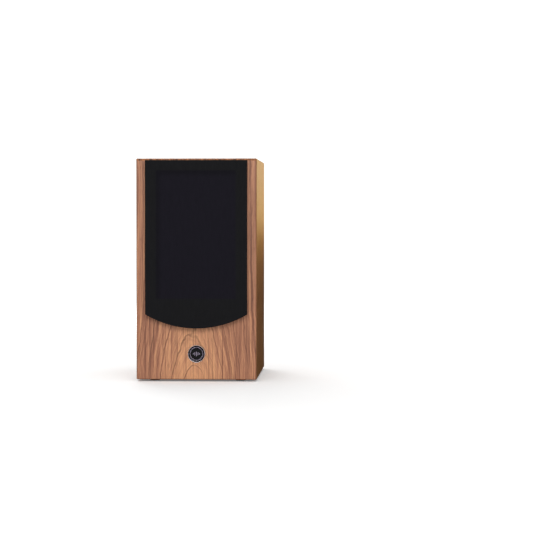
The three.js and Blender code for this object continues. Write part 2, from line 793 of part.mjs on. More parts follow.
// Metal stud of a binding post, with a banana socket in its outer end and a cross hole for bare wire.
function postStud() {
  const y = (out) => yCupFloor + out;
  const body = turned(
    [
      [0, y(-cup.floor - post.tail)],
      [post.studRadius, y(-cup.floor - post.tail)],
      [post.studRadius, y(GAP)],
      [post.collarRadius, y(GAP)],
      [post.collarRadius, y(post.collarThickness)],
      [post.studRadius, y(post.collarThickness)],
      [post.studRadius, y(post.length)],
      [post.bananaRadius, y(post.length)],
      [post.bananaRadius, y(post.length - post.bananaDepth)],
      [0, y(post.length - post.bananaDepth)],
    ],
    SMALL_ROUND,
  );
  const hole = upright(post.wireHoleRadius, 4 * post.studRadius, SCREW_ROUND);
  return cut(body, hole.translate(0, y(post.collarThickness + GAP + post.wireHoleRadius), 0));
}
const yPostRing = yCupFloor + post.collarThickness + GAP;
const yPostKnob = yPostRing + post.ringThickness + GAP;

// Lobed clamping knob, open along its axis so that a banana plug reaches the stud.
function postKnob() {
  const shape = new THREE.Shape();
  const steps = post.knobLobes * 2;
  for (let i = 0; i < steps; i += 1) {
    const angle = (2 * Math.PI * i) / steps;
    const radius = post.knobRadius - post.lobeDepth * (0.5 - 0.5 * Math.cos(post.knobLobes * angle));
    const point = [radius * Math.cos(angle), radius * Math.sin(angle)];
    if (i === 0) shape.moveTo(...point);
    else shape.lineTo(...point);
  }
  const end = yPostKnob + post.knobLength;
  const bore = disc(post.studRadius + GAP, yPostKnob - PAST, end + PAST, SMALL_ROUND);
  return cut(plate(shape, yPostKnob, end), bore);
}

// ---------------------------------------------------------------- crossover and leads
function crossoverBoard() {
  const [x, y] = [crossover.width / 2, crossover.depth / 2];
  const sheet = box(-x, x, -y, y, 0, crossover.thickness);
  const legStart = GAP - crossover.standoff;
  const height = crossover.thickness / 2 - legStart; // from above the panel into the board
  const leg = upright(crossover.standoffRadius, height, SCREW_ROUND).translate(0, 0, legStart + height / 2);
  const [legX, legY] = [x - crossover.standoffInset, y - crossover.standoffInset];
  const legs = [-1, 1].flatMap((sx) => [-1, 1].map((sy) => leg.clone().translate(sx * legX, sy * legY, 0)));
  return join(sheet, ...legs);
}

// A straight round wire between two points.
function wire(from, to) {
  const path = new THREE.LineCurve3(from, new THREE.Vector3(...to));
  const section = new THREE.Shape().absarc(0, 0, lead.wireRadius, 0, 2 * Math.PI);
  return new THREE.ExtrudeGeometry(section, { steps: 1, curveSegments: 6, extrudePath: path });
}

// A flat twin lead that follows a list of points. At each end its two wires part and run to their own places.
function twinLead(points, startPlaces, endPlaces) {
  const section = new THREE.Shape();
  for (let i = 0; i < 8; i += 1) {
    const angle = (Math.PI * (i + 0.5)) / 4;
    const point = [lead.halfThickness * Math.cos(angle), lead.halfWidth * Math.sin(angle)];
    if (i === 0) section.moveTo(...point);
    else section.lineTo(...point);
  }
  const path = new THREE.CatmullRomCurve3(points.map((p) => new THREE.Vector3(...p)));
  const cable = new THREE.ExtrudeGeometry(section, { steps: lead.steps, extrudePath: path });
  const inside = 1 / lead.steps; // each wire starts this far along the lead
  const ends = [[path.getPointAt(inside), startPlaces], [path.getPointAt(1 - inside), endPlaces]];
  const wires = ends.flatMap(([root, places]) => places.map((place) => wire(root, place)));
  return join(cable, ...wires);
}

// ---------------------------------------------------------------- materials
function material(color, roughness, metalness = 0) {
  return new THREE.MeshStandardMaterial({ color, roughness, metalness });
}
const walnut = material(0xb07c56, 0.45);
const fibreboard = material(0xa98a63, 0.9);
const foamGrey = material(0x3c3d40, 1);
const cloth = material(0x1b1b1e, 0.95);
const mattBlack = material(0x17181a, 0.6);
const rubber = material(0x121314, 0.85);
const chrome = material(0xd8d8da, 0.12, 1);
const badgeBlack = material(0x0a0a0c, 0.15);
const conePaper = material(0x202124, 0.75);
const silk = material(0x141416, 0.6);
const blackMetal = material(0x1c1d1f, 0.45, 0.6);
const steel = material(0xb9bcc0, 0.35, 1);
const ferrite = material(0x2a2a2c, 0.8);
const gold = material(0xc9a04a, 0.25, 1);
const redPlastic = material(0xa8161a, 0.35);
const blackPlastic = material(0x101012, 0.35);
const copper = material(0xb5673a, 0.3, 1);
const boardGreen = material(0x1d5b36, 0.5);
const capacitorYellow = material(0xcfae33, 0.4);
const leadBlack = material(0x18181a, 0.6);

// ---------------------------------------------------------------- assembly
const speaker = new THREE.Group();

function add(name, geometry, finish, [x, y, z] = [0, 0, 0]) {
  const mesh = new THREE.Mesh(geometry, finish);
  mesh.name = name;
  mesh.position.set(x, y, z);
  speaker.add(mesh);
}

// Cabinet
add("front_baffle", frontBaffle(), walnut);
add("left_side_panel", sidePanel(-1), walnut);
add("right_side_panel", sidePanel(1), walnut);
add("top_panel", levelPanel(zTop, zTop - cabinet.wall), walnut);
add("bottom_panel", levelPanel(zBottom, zBottom + cabinet.wall), walnut);
add("rear_panel", rearPanel(), walnut);
add("cross_brace", crossBrace(), fibreboard);
add("damping_foam_left", dampingFoam(-1), foamGrey);
add("damping_foam_right", dampingFoam(1), foamGrey);

const footHeight = foot.height - GAP;
const footPad = upright(foot.radius, footHeight, SMALL_ROUND).translate(0, 0, footHeight / 2);
const footX = halfWidth - foot.inset;
const footYs = { front: foot.inset, rear: cabinet.depth - foot.inset };
for (const [end, y] of Object.entries(footYs)) {
  add(`foot_${end}_left`, footPad, rubber, [-footX, y, 0]);
  add(`foot_${end}_right`, footPad, rubber, [footX, y, 0]);
}

// Grille and badge
add("grille_frame", grilleFrame(), mattBlack);
add("grille_cloth", plate(archedOutline(), yFront, yClothRear), cloth);
socketPlaces.forEach(([x, z], i) => add(`grille_socket_${i + 1}`, grilleSocket(), rubber, [x, 0, z]));

const badgeBore = badge.radius - badge.rim;
const badgePlateFront = -GAP - badge.thickness + badge.plateRecess;
add("badge_rim", ring(badge.radius, badgeBore, -GAP - badge.thickness, -GAP), chrome, [0, 0, badgeZ]);
add("badge_plate", disc(badgeBore - GAP, badgePlateFront, -GAP), badgeBlack, [0, 0, badgeZ]);

// Woofer
const wooferAt = [0, 0, wooferZ];
add("woofer_basket", wooferBasket(), blackMetal, wooferAt);
add("woofer_trim_ring", wooferTrimRing(), rubber, wooferAt);
add("woofer_surround", wooferSurround(), rubber, wooferAt);
add("woofer_cone", wooferCone(), conePaper, wooferAt);
const capEdge = coneFront(woofer.capRadius) - GAP;
const dustCap = domeShell(woofer.capRadius, woofer.capRise, woofer.skin, capEdge, ROUND);
add("woofer_dust_cap", dustCap, conePaper, wooferAt);
add("woofer_voice_coil", wooferVoiceCoil(), copper, wooferAt);
add("woofer_spider", wooferSpider(), foamGrey, wooferAt);
const { magnetRadius, magnetBore, plateInset } = wooferMotor;
const plateBore = windingOuter + wooferCoil.airGap;
const plateRear = yPlate + wooferMotor.plateThickness;
add("woofer_top_plate", ring(magnetRadius - plateInset, plateBore, yPlate, plateRear), steel, wooferAt);
const magnetRear = yMagnet + wooferMotor.magnetThickness;
add("woofer_magnet", ring(magnetRadius, magnetBore, yMagnet, magnetRear), ferrite, wooferAt);
add("woofer_yoke", wooferYoke(), steel, wooferAt);
const terminalAt = [0, yBasketFront + woofer.basketDepth - solderTabs.fromBack, wooferZ - basketRear - GAP];
add("woofer_terminal", wooferTerminal(), boardGreen, terminalAt);
const headFront = -screw.headThickness;
wooferScrewPlaces.forEach(([x, z], i) =>
  add(`woofer_screw_${i + 1}`, woodScrew(), blackMetal, [x, headFront, wooferZ + z]),
);

// Tweeter
const tweeterAt = [0, 0, tweeterZ];
add("tweeter_faceplate", tweeterFaceplate(), mattBlack, tweeterAt);
add("tweeter_surround", tweeterSurround(), silk, tweeterAt);
const tweeterDome = domeShell(tweeter.domeRadius, tweeter.domeRise, tweeter.skin, yTweeterLip, MIDDLE_ROUND);
add("tweeter_dome", tweeterDome, silk, tweeterAt);
add("tweeter_voice_coil", tweeterVoiceCoil(), copper, tweeterAt);
const tweeterRing = (bore, y, thickness) => ring(tweeterMagnetRadius, bore, y, y + thickness, MIDDLE_ROUND);
const tweeterTopPlate = tweeterRing(tweeterPlateBore, yTweeterPlate, tweeterMotor.plateThickness);
add("tweeter_top_plate", tweeterTopPlate, steel, tweeterAt);
const tweeterMagnet = tweeterRing(tweeterMotor.magnetBore, yTweeterMagnet, tweeterMotor.magnetThickness);
add("tweeter_magnet", tweeterMagnet, ferrite, tweeterAt);
add("tweeter_yoke", tweeterYoke(), steel, tweeterAt);
tweeterScrewPlaces.forEach(([x, z], i) =>
  add(`tweeter_screw_${i + 1}`, woodScrew(), blackMetal, [x, headFront, tweeterZ + z]),
);

// Rear
add("port_tube", portTube(), mattBlack, [0, 0, portZ]);
add("terminal_cup", terminalCup(), mattBlack, [0, 0, cupZ]);
for (const [colour, side, finish] of [["black", -1, blackPlastic], ["red", 1, redPlastic]]) {
  const place = [(side * post.spacing) / 2, 0, cupZ];
  const ringBore = post.studRadius + GAP;
  add(`${colour}_post_stud`, postStud(), gold, place);
  const ringRear = yPostRing + post.ringThickness;
  const postRing = ring(post.knobRadius, ringBore, yPostRing, ringRear, SMALL_ROUND);
  add(`${colour}_post_ring`, postRing, finish, place);
  add(`${colour}_post_knob`, postKnob(), gold, place);
}

// Crossover
add("crossover_board", crossoverBoard(), boardGreen, [0, yBoard, zBoard]);
const zParts = zBoard + crossover.thickness + GAP;
const { coilRadius, coilBore, coilHeight, capacitorRadius, capacitorLength } = crossover;
const coilAt = [-crossover.width / 2 + coilRadius + crossover.coilInset, yBoard, zParts];
const coil = ring(coilRadius, coilBore, 0, coilHeight, MIDDLE_ROUND).rotateX(Math.PI / 2);
add("crossover_coil", coil, copper, coilAt);
const capacitor = disc(capacitorRadius, -capacitorLength / 2, capacitorLength / 2, SMALL_ROUND);
const capacitorAt = [crossover.width / 4, yBoard, zParts + capacitorRadius];
add("crossover_capacitor", capacitor, capacitorYellow, capacitorAt);

// Leads: posts to board, board to woofer and board to tweeter
const zLead = zParts + lead.halfWidth;
const yTail = yCupFloor - cup.floor - post.tail - GAP - lead.wireRadius;
const yBoardFront = yBoard - crossover.depth / 2;
const tweeterTabSpacing = 6;
const jointSpacing = 4; // between the two solder joints of a lead on the board
const pair = (half, y, z) => [[-half, y, z], [half, y, z]];
const joints = (x, y) => pair(jointSpacing / 2, y, zLead).map(([dx, ...rest]) => [x + dx, ...rest]);
const inputPath = [
  [0, yTail - 6, cupZ - 8],
  [0, yTail - 15, cupZ - 22],
  [3, yTail - 18, cupZ - 38],
  [5, yBoard + 26, zLead + 20],
  [5, yBoard + 14, zLead],
];
const inputEnds = pair(post.spacing / 2, yTail, cupZ);
add("input_lead", twinLead(inputPath, inputEnds, joints(5, yBoard + 8)), leadBlack);

const wooferTabY = terminalAt[1];
const wooferTabZ = terminalAt[2] - solderTabs.drop - GAP - lead.wireRadius;
const wooferPath = [
  [5, yBoardFront + 26, zLead],
  [4, yBoardFront + 4, zLead + 8],
  [2, yBoardFront - 34, zLead + 30],
  [0, wooferTabY + 4, wooferTabZ - 26],
  [0, wooferTabY, wooferTabZ - 8],
];
const wooferEnds = pair(solderTabs.spacing / 2, wooferTabY, wooferTabZ);
add("woofer_lead", twinLead(wooferPath, joints(5, yBoardFront + 32), wooferEnds), leadBlack);

// This lead climbs between the woofer's magnet and the damping foam.
const xClimb = (magnetRadius + xInner - foam.thickness) / 2;
const tweeterTabY = yTweeterYoke + tweeterMotor.yokeThickness / 2;
const tweeterTabZ = tweeterZ - tweeterMagnetRadius - GAP - lead.wireRadius;
const tweeterPath = [
  [26, yBoardFront + 10, zLead],
  [xClimb - 14, yBoardFront - 24, zLead + 20],
  [xClimb, yMagnet + 24, wooferZ - 40],
  [xClimb, yMagnet + 24, wooferZ + 30],
  [xClimb / 2, yMagnet, tweeterTabZ - 14],
  [0, tweeterTabY + 2, tweeterTabZ - 8],
];
const tweeterEnds = pair(tweeterTabSpacing / 2, tweeterTabY, tweeterTabZ);
add("tweeter_lead", twinLead(tweeterPath, joints(26, yBoardFront + 16), tweeterEnds), leadBlack);

// The origin is under the middle of the whole speaker, on the surface that its feet stand on.
const yBack = Math.max(yRear + GAP + cup.flangeThickness, cabinet.depth);
speaker.position.y = -(yFront + yBack) / 2;

export default speaker;
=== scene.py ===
import json
import math

import bmesh
import bpy
import numpy as np
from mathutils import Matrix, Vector

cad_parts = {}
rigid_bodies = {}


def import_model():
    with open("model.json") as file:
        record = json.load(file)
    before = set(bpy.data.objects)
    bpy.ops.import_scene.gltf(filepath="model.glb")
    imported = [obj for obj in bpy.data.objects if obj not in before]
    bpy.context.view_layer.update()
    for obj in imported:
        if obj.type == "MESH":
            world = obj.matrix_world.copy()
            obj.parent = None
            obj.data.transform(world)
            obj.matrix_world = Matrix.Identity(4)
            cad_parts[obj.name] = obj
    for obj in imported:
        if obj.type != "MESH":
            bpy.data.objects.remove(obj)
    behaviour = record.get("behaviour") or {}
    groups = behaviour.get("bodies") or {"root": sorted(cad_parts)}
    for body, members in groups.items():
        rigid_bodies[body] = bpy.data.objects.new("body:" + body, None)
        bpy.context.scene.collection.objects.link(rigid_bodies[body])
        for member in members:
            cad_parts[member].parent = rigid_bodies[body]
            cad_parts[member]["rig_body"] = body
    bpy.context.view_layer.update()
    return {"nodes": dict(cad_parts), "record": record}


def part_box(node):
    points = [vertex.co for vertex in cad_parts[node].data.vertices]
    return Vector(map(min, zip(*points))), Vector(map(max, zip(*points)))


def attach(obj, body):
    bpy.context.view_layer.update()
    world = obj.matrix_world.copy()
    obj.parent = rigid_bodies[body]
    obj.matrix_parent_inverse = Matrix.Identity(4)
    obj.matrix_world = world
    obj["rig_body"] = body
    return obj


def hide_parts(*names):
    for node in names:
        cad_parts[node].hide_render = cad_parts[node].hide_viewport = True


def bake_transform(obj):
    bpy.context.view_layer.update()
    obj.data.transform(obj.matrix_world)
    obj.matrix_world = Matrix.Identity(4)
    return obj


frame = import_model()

nodes = frame["nodes"]
slot_of = {part["node"]: part["material_slot"] for part in frame["record"]["subparts"]}
MM = 0.001

# ---- places from the frame
FRONT_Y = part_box("front_baffle")[0].y
REAR_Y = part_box("rear_panel")[1].y
TOP_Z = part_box("top_panel")[1].z
FLOOR_Z = -0.0002  # just under the feet, so that the two don't share a plane
GAP = 0.3 * MM  # left between a flange and the panel that it covers


def middle(node):
    a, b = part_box(node)
    return (a + b) / 2


def half_size(node):
    a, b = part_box(node)
    return (b - a) / 2


# ---- camera
CAMERA_X, CAMERA_Z = 0.255, 0.274
CAMERA_BACK = 3.103  # from the baffle's front face
LOOKS_DOWN, LOOKS_LEFT = 1.53, 2.56  # degrees
LENS, FILM_WIDTH = 126.8, 36  # millimetres
camera_data = bpy.data.cameras.new("camera")
camera_data.sensor_width = FILM_WIDTH
camera_data.lens = LENS
camera_data.clip_end = 100
camera = bpy.data.objects.new("camera", camera_data)
camera.location = (CAMERA_X, FRONT_Y - CAMERA_BACK, CAMERA_Z)
camera.rotation_euler = (math.radians(90 - LOOKS_DOWN), 0, math.radians(LOOKS_LEFT))
bpy.context.scene.collection.objects.link(camera)
bpy.context.scene.camera = camera
bpy.context.scene.view_settings.view_transform = "Standard"
bpy.context.scene.view_settings.look = "None"


# ---- node helpers
def srgb(red, green, blue):
    """A display colour, 0 to 255, as a linear one."""
    linear = [c / 255 for c in (red, green, blue)]
    return tuple(c / 12.92 if c <= 0.04045 else ((c + 0.055) / 1.055) ** 2.4 for c in linear) + (1.0,)


class Look:
    """A Principled material and short calls that add nodes to it."""

    def __init__(self, name, **sockets):
        self.material = bpy.data.materials.new(name)
        self.material.use_nodes = True
        self.tree = self.material.node_tree
        self.shader = self.tree.nodes["Principled BSDF"]
        for key, value in sockets.items():
            self.put(self.shader.inputs[key.replace("_", " ")], value)

    def put(self, socket, value):
        if isinstance(value, bpy.types.NodeSocket):
            self.tree.links.new(value, socket)
        else:
            socket.default_value = value

    def node(self, kind, inputs=None, **settings):
        made = self.tree.nodes.new("ShaderNode" + kind)
        for key, value in settings.items():
            setattr(made, key, value)
        for key, value in (inputs or {}).items():
            self.put(made.inputs[key], value)
        return made

    def calc(self, operation, *values, clamp=False):
        made = self.node("Math", operation=operation, use_clamp=clamp)
        for socket, value in zip(made.inputs, values):
            self.put(socket, value)
        return made.outputs[0]

    def inverse(self, value):
        """1 - value."""
        return self.calc("SUBTRACT", 1.0, value)

    def hypot(self, u, v):
        squares = [self.calc("MULTIPLY", c, c) for c in (u, v)]
        return self.calc("SQRT", self.calc("ADD", *squares))

    def place(self):
        """The point's own place in the row frame, as three sockets."""
        if not hasattr(self, "xyz"):
            self.xyz = self.node("SeparateXYZ", {"Vector": self.coordinates()}).outputs
        return self.xyz[0], self.xyz[1], self.xyz[2]

    def coordinates(self):
        return self.node("TexCoord").outputs["Object"]

    def vector(self, x, y, z):
        return self.node("CombineXYZ", {"X": x, "Y": y, "Z": z}).outputs[0]

    def stretched(self, across, depth, along):
        """The place with each axis scaled by its own factor, for threads of uneven thickness."""
        x, y, z = self.place()
        scaled = [self.calc("MULTIPLY", c, k) for c, k in ((x, across), (y, depth), (z, along))]
        return self.vector(*scaled)

    def noise(self, vector, scale, detail=2.0, roughness=0.5):
        inputs = {"Vector": vector, "Scale": scale, "Detail": detail, "Roughness": roughness}
        return self.node("TexNoise", inputs).outputs[0]

    def noise_along(self, value, scale, detail=2.0, roughness=0.5):
        inputs = {"W": value, "Scale": scale, "Detail": detail, "Roughness": roughness}
        return self.node("TexNoise", inputs, noise_dimensions="1D").outputs[0]

    def soft_step(self, value, start, end):
        inputs = {"Value": value, "From Min": start, "From Max": end}
        return self.node("MapRange", inputs, interpolation_type="SMOOTHSTEP").outputs[0]

    def ramp(self, factor, *stops):
        made = self.node("ValToRGB", {"Fac": factor})
        elements = made.color_ramp.elements
        while len(elements) < len(stops):
            elements.new(0.5)
        for element, (position, colour) in zip(elements, stops):
            element.position, element.color = position, colour
        return made.outputs[0]

    def mix(self, factor, first, second, blend="MIX"):
        made = self.node("Mix", data_type="RGBA", blend_type=blend)
        self.put(made.inputs[0], factor)
        self.put(made.inputs[6], first)
        self.put(made.inputs[7], second)
        return made.outputs[2]

    def bump(self, height, distance, strength=1.0):
        inputs = {"Height": height, "Distance": distance, "Strength": strength}
        self.put(self.shader.inputs["Normal"], self.node("Bump", inputs).outputs[0])

    def colour(self, value):
        self.put(self.shader.inputs["Base Color"], value)

    def rough(self, value, low, high):
        inputs = {"Value": value, "To Min": low, "To Max": high}
        self.put(self.shader.inputs["Roughness"], self.node("MapRange", inputs).outputs[0])


# ---- walnut
VEIN_PITCH = 16.5 * MM
# Where the veneer rolls over the front's edges: how far in the darker cross-cut band (top) and the painted
# edge shade (foot and sides) start and are whole.
ROLLED_TOP = (4.6 * MM, 3.4 * MM)
ROLLED_FOOT = (3.6 * MM, 5.0 * MM)
ROLLED_SIDE = (98.4 * MM, 99.4 * MM)  # from the middle


def walnut(
    name, face, tint=(1, 1, 1), centre=-0.004,
    lean_limit=0.045, settling=0.06, base=0.0, skew=-0.12, wild=1.0,
):
    """Veneer cut from a log: growth rings crossed by a slicing plane. The plane moves away from the heart
    by lean_limit over the height settling above base, so the rings make arches low down and straight lines
    above and at the sides. skew spreads the rings on one side of the heart and crowds them on the other,
    and wild is how much they waver. The grain runs along Z, and over the top panel it runs on along Y."""
    look = Look(name, Specular_IOR_Level=0.36)
    x, y, z = look.place()
    if face in ("front", "rear"):
        across, along = x, z
    elif face == "side":
        across, along = look.calc("ADD", y, x), z  # x carries the lines round onto the panel's rear edge
    else:
        across, along = x, look.calc("ADD", y, TOP_Z - FRONT_Y)
    here = look.vector(across, along, 0.0)

    def stretch(a, b):
        return look.vector(look.calc("MULTIPLY", across, a), look.calc("MULTIPLY", along, b), 0.0)

    def centred(noise):
        return look.calc("SUBTRACT", noise, 0.5)

    drift = centred(look.noise(stretch(1, 0.8), 8, 1))
    waver = centred(look.noise(stretch(1, 0.30), 48, 3, 0.62))
    ragged = centred(look.noise(stretch(1, 0.55), 150, 2, 0.6))
    u = look.calc("SUBTRACT", across, centre)
    decay = look.calc("EXPONENT", look.calc("MULTIPLY", look.calc("SUBTRACT", along, base), -1 / settling))
    wander = look.calc("MULTIPLY_ADD", decay, 0.030 * wild, 0.008)
    u = look.calc("MULTIPLY_ADD", drift, wander, u)
    u = look.calc("MULTIPLY_ADD", waver, 0.0060 * wild, u)
    u = look.calc("MULTIPLY_ADD", ragged, 0.0022 * wild, u)
    lean = look.calc("MULTIPLY", look.inverse(decay), lean_limit)
    lean = look.calc("MULTIPLY_ADD", centred(look.noise(here, 24, 3, 0.55)), 0.016 * wild, lean)
    radius = look.hypot(u, lean)
    ring = look.calc("MULTIPLY_ADD", u, -skew, radius)

    bands = look.noise_along(ring, 230, 3, 0.72)
    wide_bands = look.noise_along(ring, 44, 1, 0.5)
    # Dark veins: about one ring in VEIN_PITCH, at uneven distances, and each only along some of its length.
    jitter = look.calc("MULTIPLY", centred(look.noise_along(ring, 90, 1)), 0.5)
    count = look.calc("MULTIPLY_ADD", ring, 1 / VEIN_PITCH, jitter)
    to_vein = look.calc("ABSOLUTE", centred(look.calc("FRACT", look.calc("ADD", count, 0.5))))
    veins = look.inverse(look.soft_step(to_vein, 0.012, 0.075))
    patch = look.noise(stretch(1, 0.3), 26, 2)
    veins = look.calc("MULTIPLY", veins, look.soft_step(patch, 0.30, 0.52))
    streak_field = look.noise(stretch(1, 0.012), 430, 2, 0.55)
    streaks = look.soft_step(streak_field, 0.53, 0.66)
    fibre = look.noise(stretch(1, 0.014), 620, 3, 0.6)
    wide_fibre = look.noise(stretch(1, 0.02), 300, 2, 0.6)
    pore_field = look.noise(stretch(1, 0.035), 1500, 2, 0.5)
    pores = look.soft_step(pore_field, 0.60, 0.70)

    tone = -0.275
    for field, share in ((bands, 0.54), (wide_bands, 0.12), (wide_fibre, 0.50), (fibre, 0.34)):
        tone = look.calc("MULTIPLY_ADD", field, share, tone)
    if face == "front":
        # The wood is a little lighter near the heart of the arches.
        heart = look.inverse(look.soft_step(radius, 0.016, 0.080))
        tone = look.calc("MULTIPLY_ADD", heart, 0.18, tone)

    def toned(red, green, blue):
        return srgb(red * tint[0], green * tint[1], blue * tint[2])

    wood = look.ramp(
        tone,
        (0.22, toned(108, 68, 50)),
        (0.39, toned(148, 98, 74)),
        (0.52, toned(178, 123, 92)),
        (0.74, toned(216, 158, 114)),
    )
    for field, strength, colour in (
        (veins, 0.66, (92, 56, 42)), (streaks, 0.63, (104, 62, 48)), (pores, 0.58, (84, 50, 36)),
    ):
        wood = look.mix(look.calc("MULTIPLY", field, strength), wood, toned(*colour))
    if face == "front":
        # Along the rolled top edge the veneer is cut across its pores, so it is darker and more streaked.
        edge = look.soft_step(z, TOP_Z - ROLLED_TOP[0], TOP_Z - ROLLED_TOP[1])
        cross_cut = look.ramp(
            look.noise(look.vector(across, 0.0, 0.0), 165, 3, 0.7),
            (0.40, srgb(60, 34, 20)),
            (0.50, srgb(142, 84, 44)),
            (0.60, srgb(196, 124, 70)),
        )
        wood = look.mix(look.calc("MULTIPLY", edge, 0.85), wood, cross_cut)
        # Painted shade: a slightly darker line where the sides and the bottom roll over, away from the
        # light.
        reach = look.calc("ABSOLUTE", x)
        side = look.soft_step(reach, *ROLLED_SIDE)
        foot = look.inverse(look.soft_step(z, *ROLLED_FOOT))
        rim = look.calc("MAXIMUM", side, foot)
        wood = look.mix(look.calc("MULTIPLY", rim, 0.45), wood, srgb(96, 60, 42))
    look.colour(wood)
    look.rough(fibre, 0.36, 0.50)
    height = look.calc("SUBTRACT", look.calc("MULTIPLY", fibre, 0.35), pores)
    look.bump(height, 0.12 * MM, 0.55)
    return look.material


# ---- other finishes
def speckled(name, base, other, scale=900.0, roughness=(0.5, 0.62), bump=0.05 * MM, **sockets):
    """A plain moulded or painted finish: a fine even texture, with a little variation in tone."""
    look = Look(name, **sockets)
    coordinates = look.coordinates()
    grain = look.noise(coordinates, scale, 3, 0.6)
    clouds = look.noise(coordinates, 35, 3, 0.5)
    fine = look.ramp(grain, (0.3, base), (0.7, other))
    look.colour(look.mix(look.calc("MULTIPLY", clouds, 0.5), fine, base))
    look.rough(look.calc("MULTIPLY_ADD", clouds, 0.5, look.calc("MULTIPLY", grain, 0.5)), *roughness)
    if bump:
        look.bump(grain, bump, 0.6)
    return look.material


def weave(name, base, other, pitch, roughness, bump, window=None, **sockets):
    """Plain weave: threads along X pass over and under threads along Z. pitch is two threads' width, and
    window gives look_through's last three values."""
    look = Look(name, **sockets)
    x, y, z = look.place()
    turn = 2 * math.pi / pitch
    warp = look.calc("SINE", look.calc("MULTIPLY", x, turn))
    weft = look.calc("SINE", look.calc("MULTIPLY", look.calc("ADD", z, y), turn))
    over = look.calc("MULTIPLY", look.calc("MULTIPLY", warp, weft), 0.4)
    round_threads = look.calc("ADD", look.calc("ABSOLUTE", warp), look.calc("ABSOLUTE", weft))
    threads = look.calc("MULTIPLY_ADD", round_threads, 0.3, over)
    fuzz = look.noise(look.coordinates(), 2600, 2, 0.5)
    slub = look.noise(look.stretched(40, 40, 6), 14, 2, 0.5)
    tone = look.calc("MULTIPLY_ADD", threads, 0.35, look.calc("MULTIPLY", fuzz, 0.3))
    tone = look.calc("MULTIPLY_ADD", slub, 0.3, tone, clamp=True)
    cloth = look.ramp(tone, (0.05, base), (0.8, other))
    if window:
        hollow, shade = look_through(look, x, z, *window)
        behind = look.ramp(tone, (0.05, srgb(14, 13, 19)), (0.8, srgb(31, 29, 37)))
        cloth = look.mix(hollow, cloth, behind)
        cloth = look.mix(shade, cloth, srgb(10, 10, 11))
    look.colour(cloth)
    look.rough(fuzz, *roughness)
    look.bump(look.calc("MULTIPLY_ADD", fuzz, 0.25, threads), bump, 0.8)
    return look.material


def look_through(look, x, z, half_width, z0, z1):
    """How much of the hollow behind the cloth shows through it, and the shade that the hollow's top and
    left edges throw inside. The hollow reaches half_width to each side and from z0 to z1."""
    blur, shade_blur = 1.6 * MM, 5 * MM
    shade_left, shade_top = 6 * MM, 7 * MM
    beyond = 20 * MM  # so far outside that the other two edges throw none

    def inside_box(x0, x1, bottom, top, soft):
        sides = [
            look.soft_step(x, x0 - soft, x0 + soft),
            look.inverse(look.soft_step(x, x1 - soft, x1 + soft)),
            look.soft_step(z, bottom - soft, bottom + soft),
            look.inverse(look.soft_step(z, top - soft, top + soft)),
        ]
        made = sides[0]
        for one in sides[1:]:
            made = look.calc("MULTIPLY", made, one)
        return made

    hollow = inside_box(-half_width, half_width, z0, z1, blur)
    lit = inside_box(-half_width + shade_left, half_width + beyond, z0 - beyond, z1 - shade_top, shade_blur)
    shade = look.calc("MULTIPLY", hollow, look.inverse(lit))
    return hollow, look.calc("MULTIPLY", shade, 0.35)


METAL = {"Metallic": 1.0}
# For each material slot: its two tones, the texture's scale, the range of roughness and what else differs.
FINISHES = {
    "fibreboard": ((150, 118, 84), (178, 146, 108), 1400, (0.75, 0.9), {}),
    "black_abs": ((20, 20, 21), (30, 30, 32), 1500, (0.42, 0.55), {}),
    "rubber": ((18, 18, 18), (27, 27, 28), 1100, (0.62, 0.78), {}),
    "black_metal": ((20, 20, 22), (34, 34, 36), 1900, (0.34, 0.5), {}),
    "steel": ((168, 170, 174), (196, 198, 202), 700, (0.25, 0.45), METAL),
    "ferrite": ((42, 42, 45), (62, 62, 66), 1300, (0.7, 0.85), {}),
    "copper": ((176, 98, 60), (206, 124, 80), 800, (0.25, 0.4), METAL),
    "board": ((20, 74, 44), (30, 96, 58), 500, (0.35, 0.5), {}),
    "capacitor": ((206, 168, 44), (222, 186, 60), 300, (0.3, 0.4), {}),
    "lead_black": ((16, 16, 17), (26, 26, 27), 900, (0.4, 0.5), {}),
    "red_plastic": ((170, 18, 20), (190, 26, 26), 700, (0.25, 0.35), {}),
    "black_plastic": ((16, 16, 17), (26, 26, 28), 700, (0.22, 0.34), {}),
    "gold": ((212, 168, 92), (232, 192, 116), 900, (0.14, 0.26), METAL),
    "chrome": ((214, 214, 222), (232, 232, 238), 600, (0.05, 0.12), {**METAL, "bump": 0}),
    "badge_black": ((4, 4, 5), (9, 8, 11), 500, (0.06, 0.14), {"bump": 0, "Specular_IOR_Level": 0.16}),
    "foam": ((40, 40, 43), (66, 66, 70), 520, (0.9, 1.0), {"bump": 0.6 * MM}),
}
finishes = {
    slot_name: speckled(slot_name + "_look", srgb(*base), srgb(*other), scale, roughness, **more)
    for slot_name, (base, other, scale, roughness, more) in FINISHES.items()
}
silk_look = weave(
    "silk_look", srgb(14, 14, 16), srgb(30, 30, 33), 0.7 * MM, (0.45, 0.6), bump=0.03 * MM, Sheen_Weight=0.2
)
# The sides, the top and the back are calmer cuts than the front, with the heart below the panel.
wood_front = walnut("walnut_front_look", "front")
# The side panels' copy is tinted darker and yellower than the front: painted shade, with a warm painted
# reflection in it.
wood_side = walnut(
    "walnut_side_look", "side", tint=(0.84, 0.82, 0.60), centre=0.04,
    lean_limit=0.06, settling=0.12, base=-0.06, skew=0.10, wild=0.45,
)
wood_top = walnut(
    "walnut_top_look", "top", tint=(0.96, 0.95, 0.90), centre=0.02,
    lean_limit=0.05, settling=0.12, base=0.33, skew=0.10, wild=0.5,
)
wood_rear = walnut(
    "walnut_rear_look", "rear", tint=(0.92, 0.90, 0.86), centre=0.02,
    lean_limit=0.05, settling=0.10, base=-0.03, skew=0.10, wild=0.5,
)
panel_looks = {
    "front_baffle": wood_front,
    "left_side_panel": wood_side,
    "right_side_panel": wood_side,
    "top_panel": wood_top,
    "bottom_panel": wood_top,
    "rear_panel": wood_rear,
}


def wear(obj, material):
    obj.data.materials.clear()
    obj.data.materials.append(material)


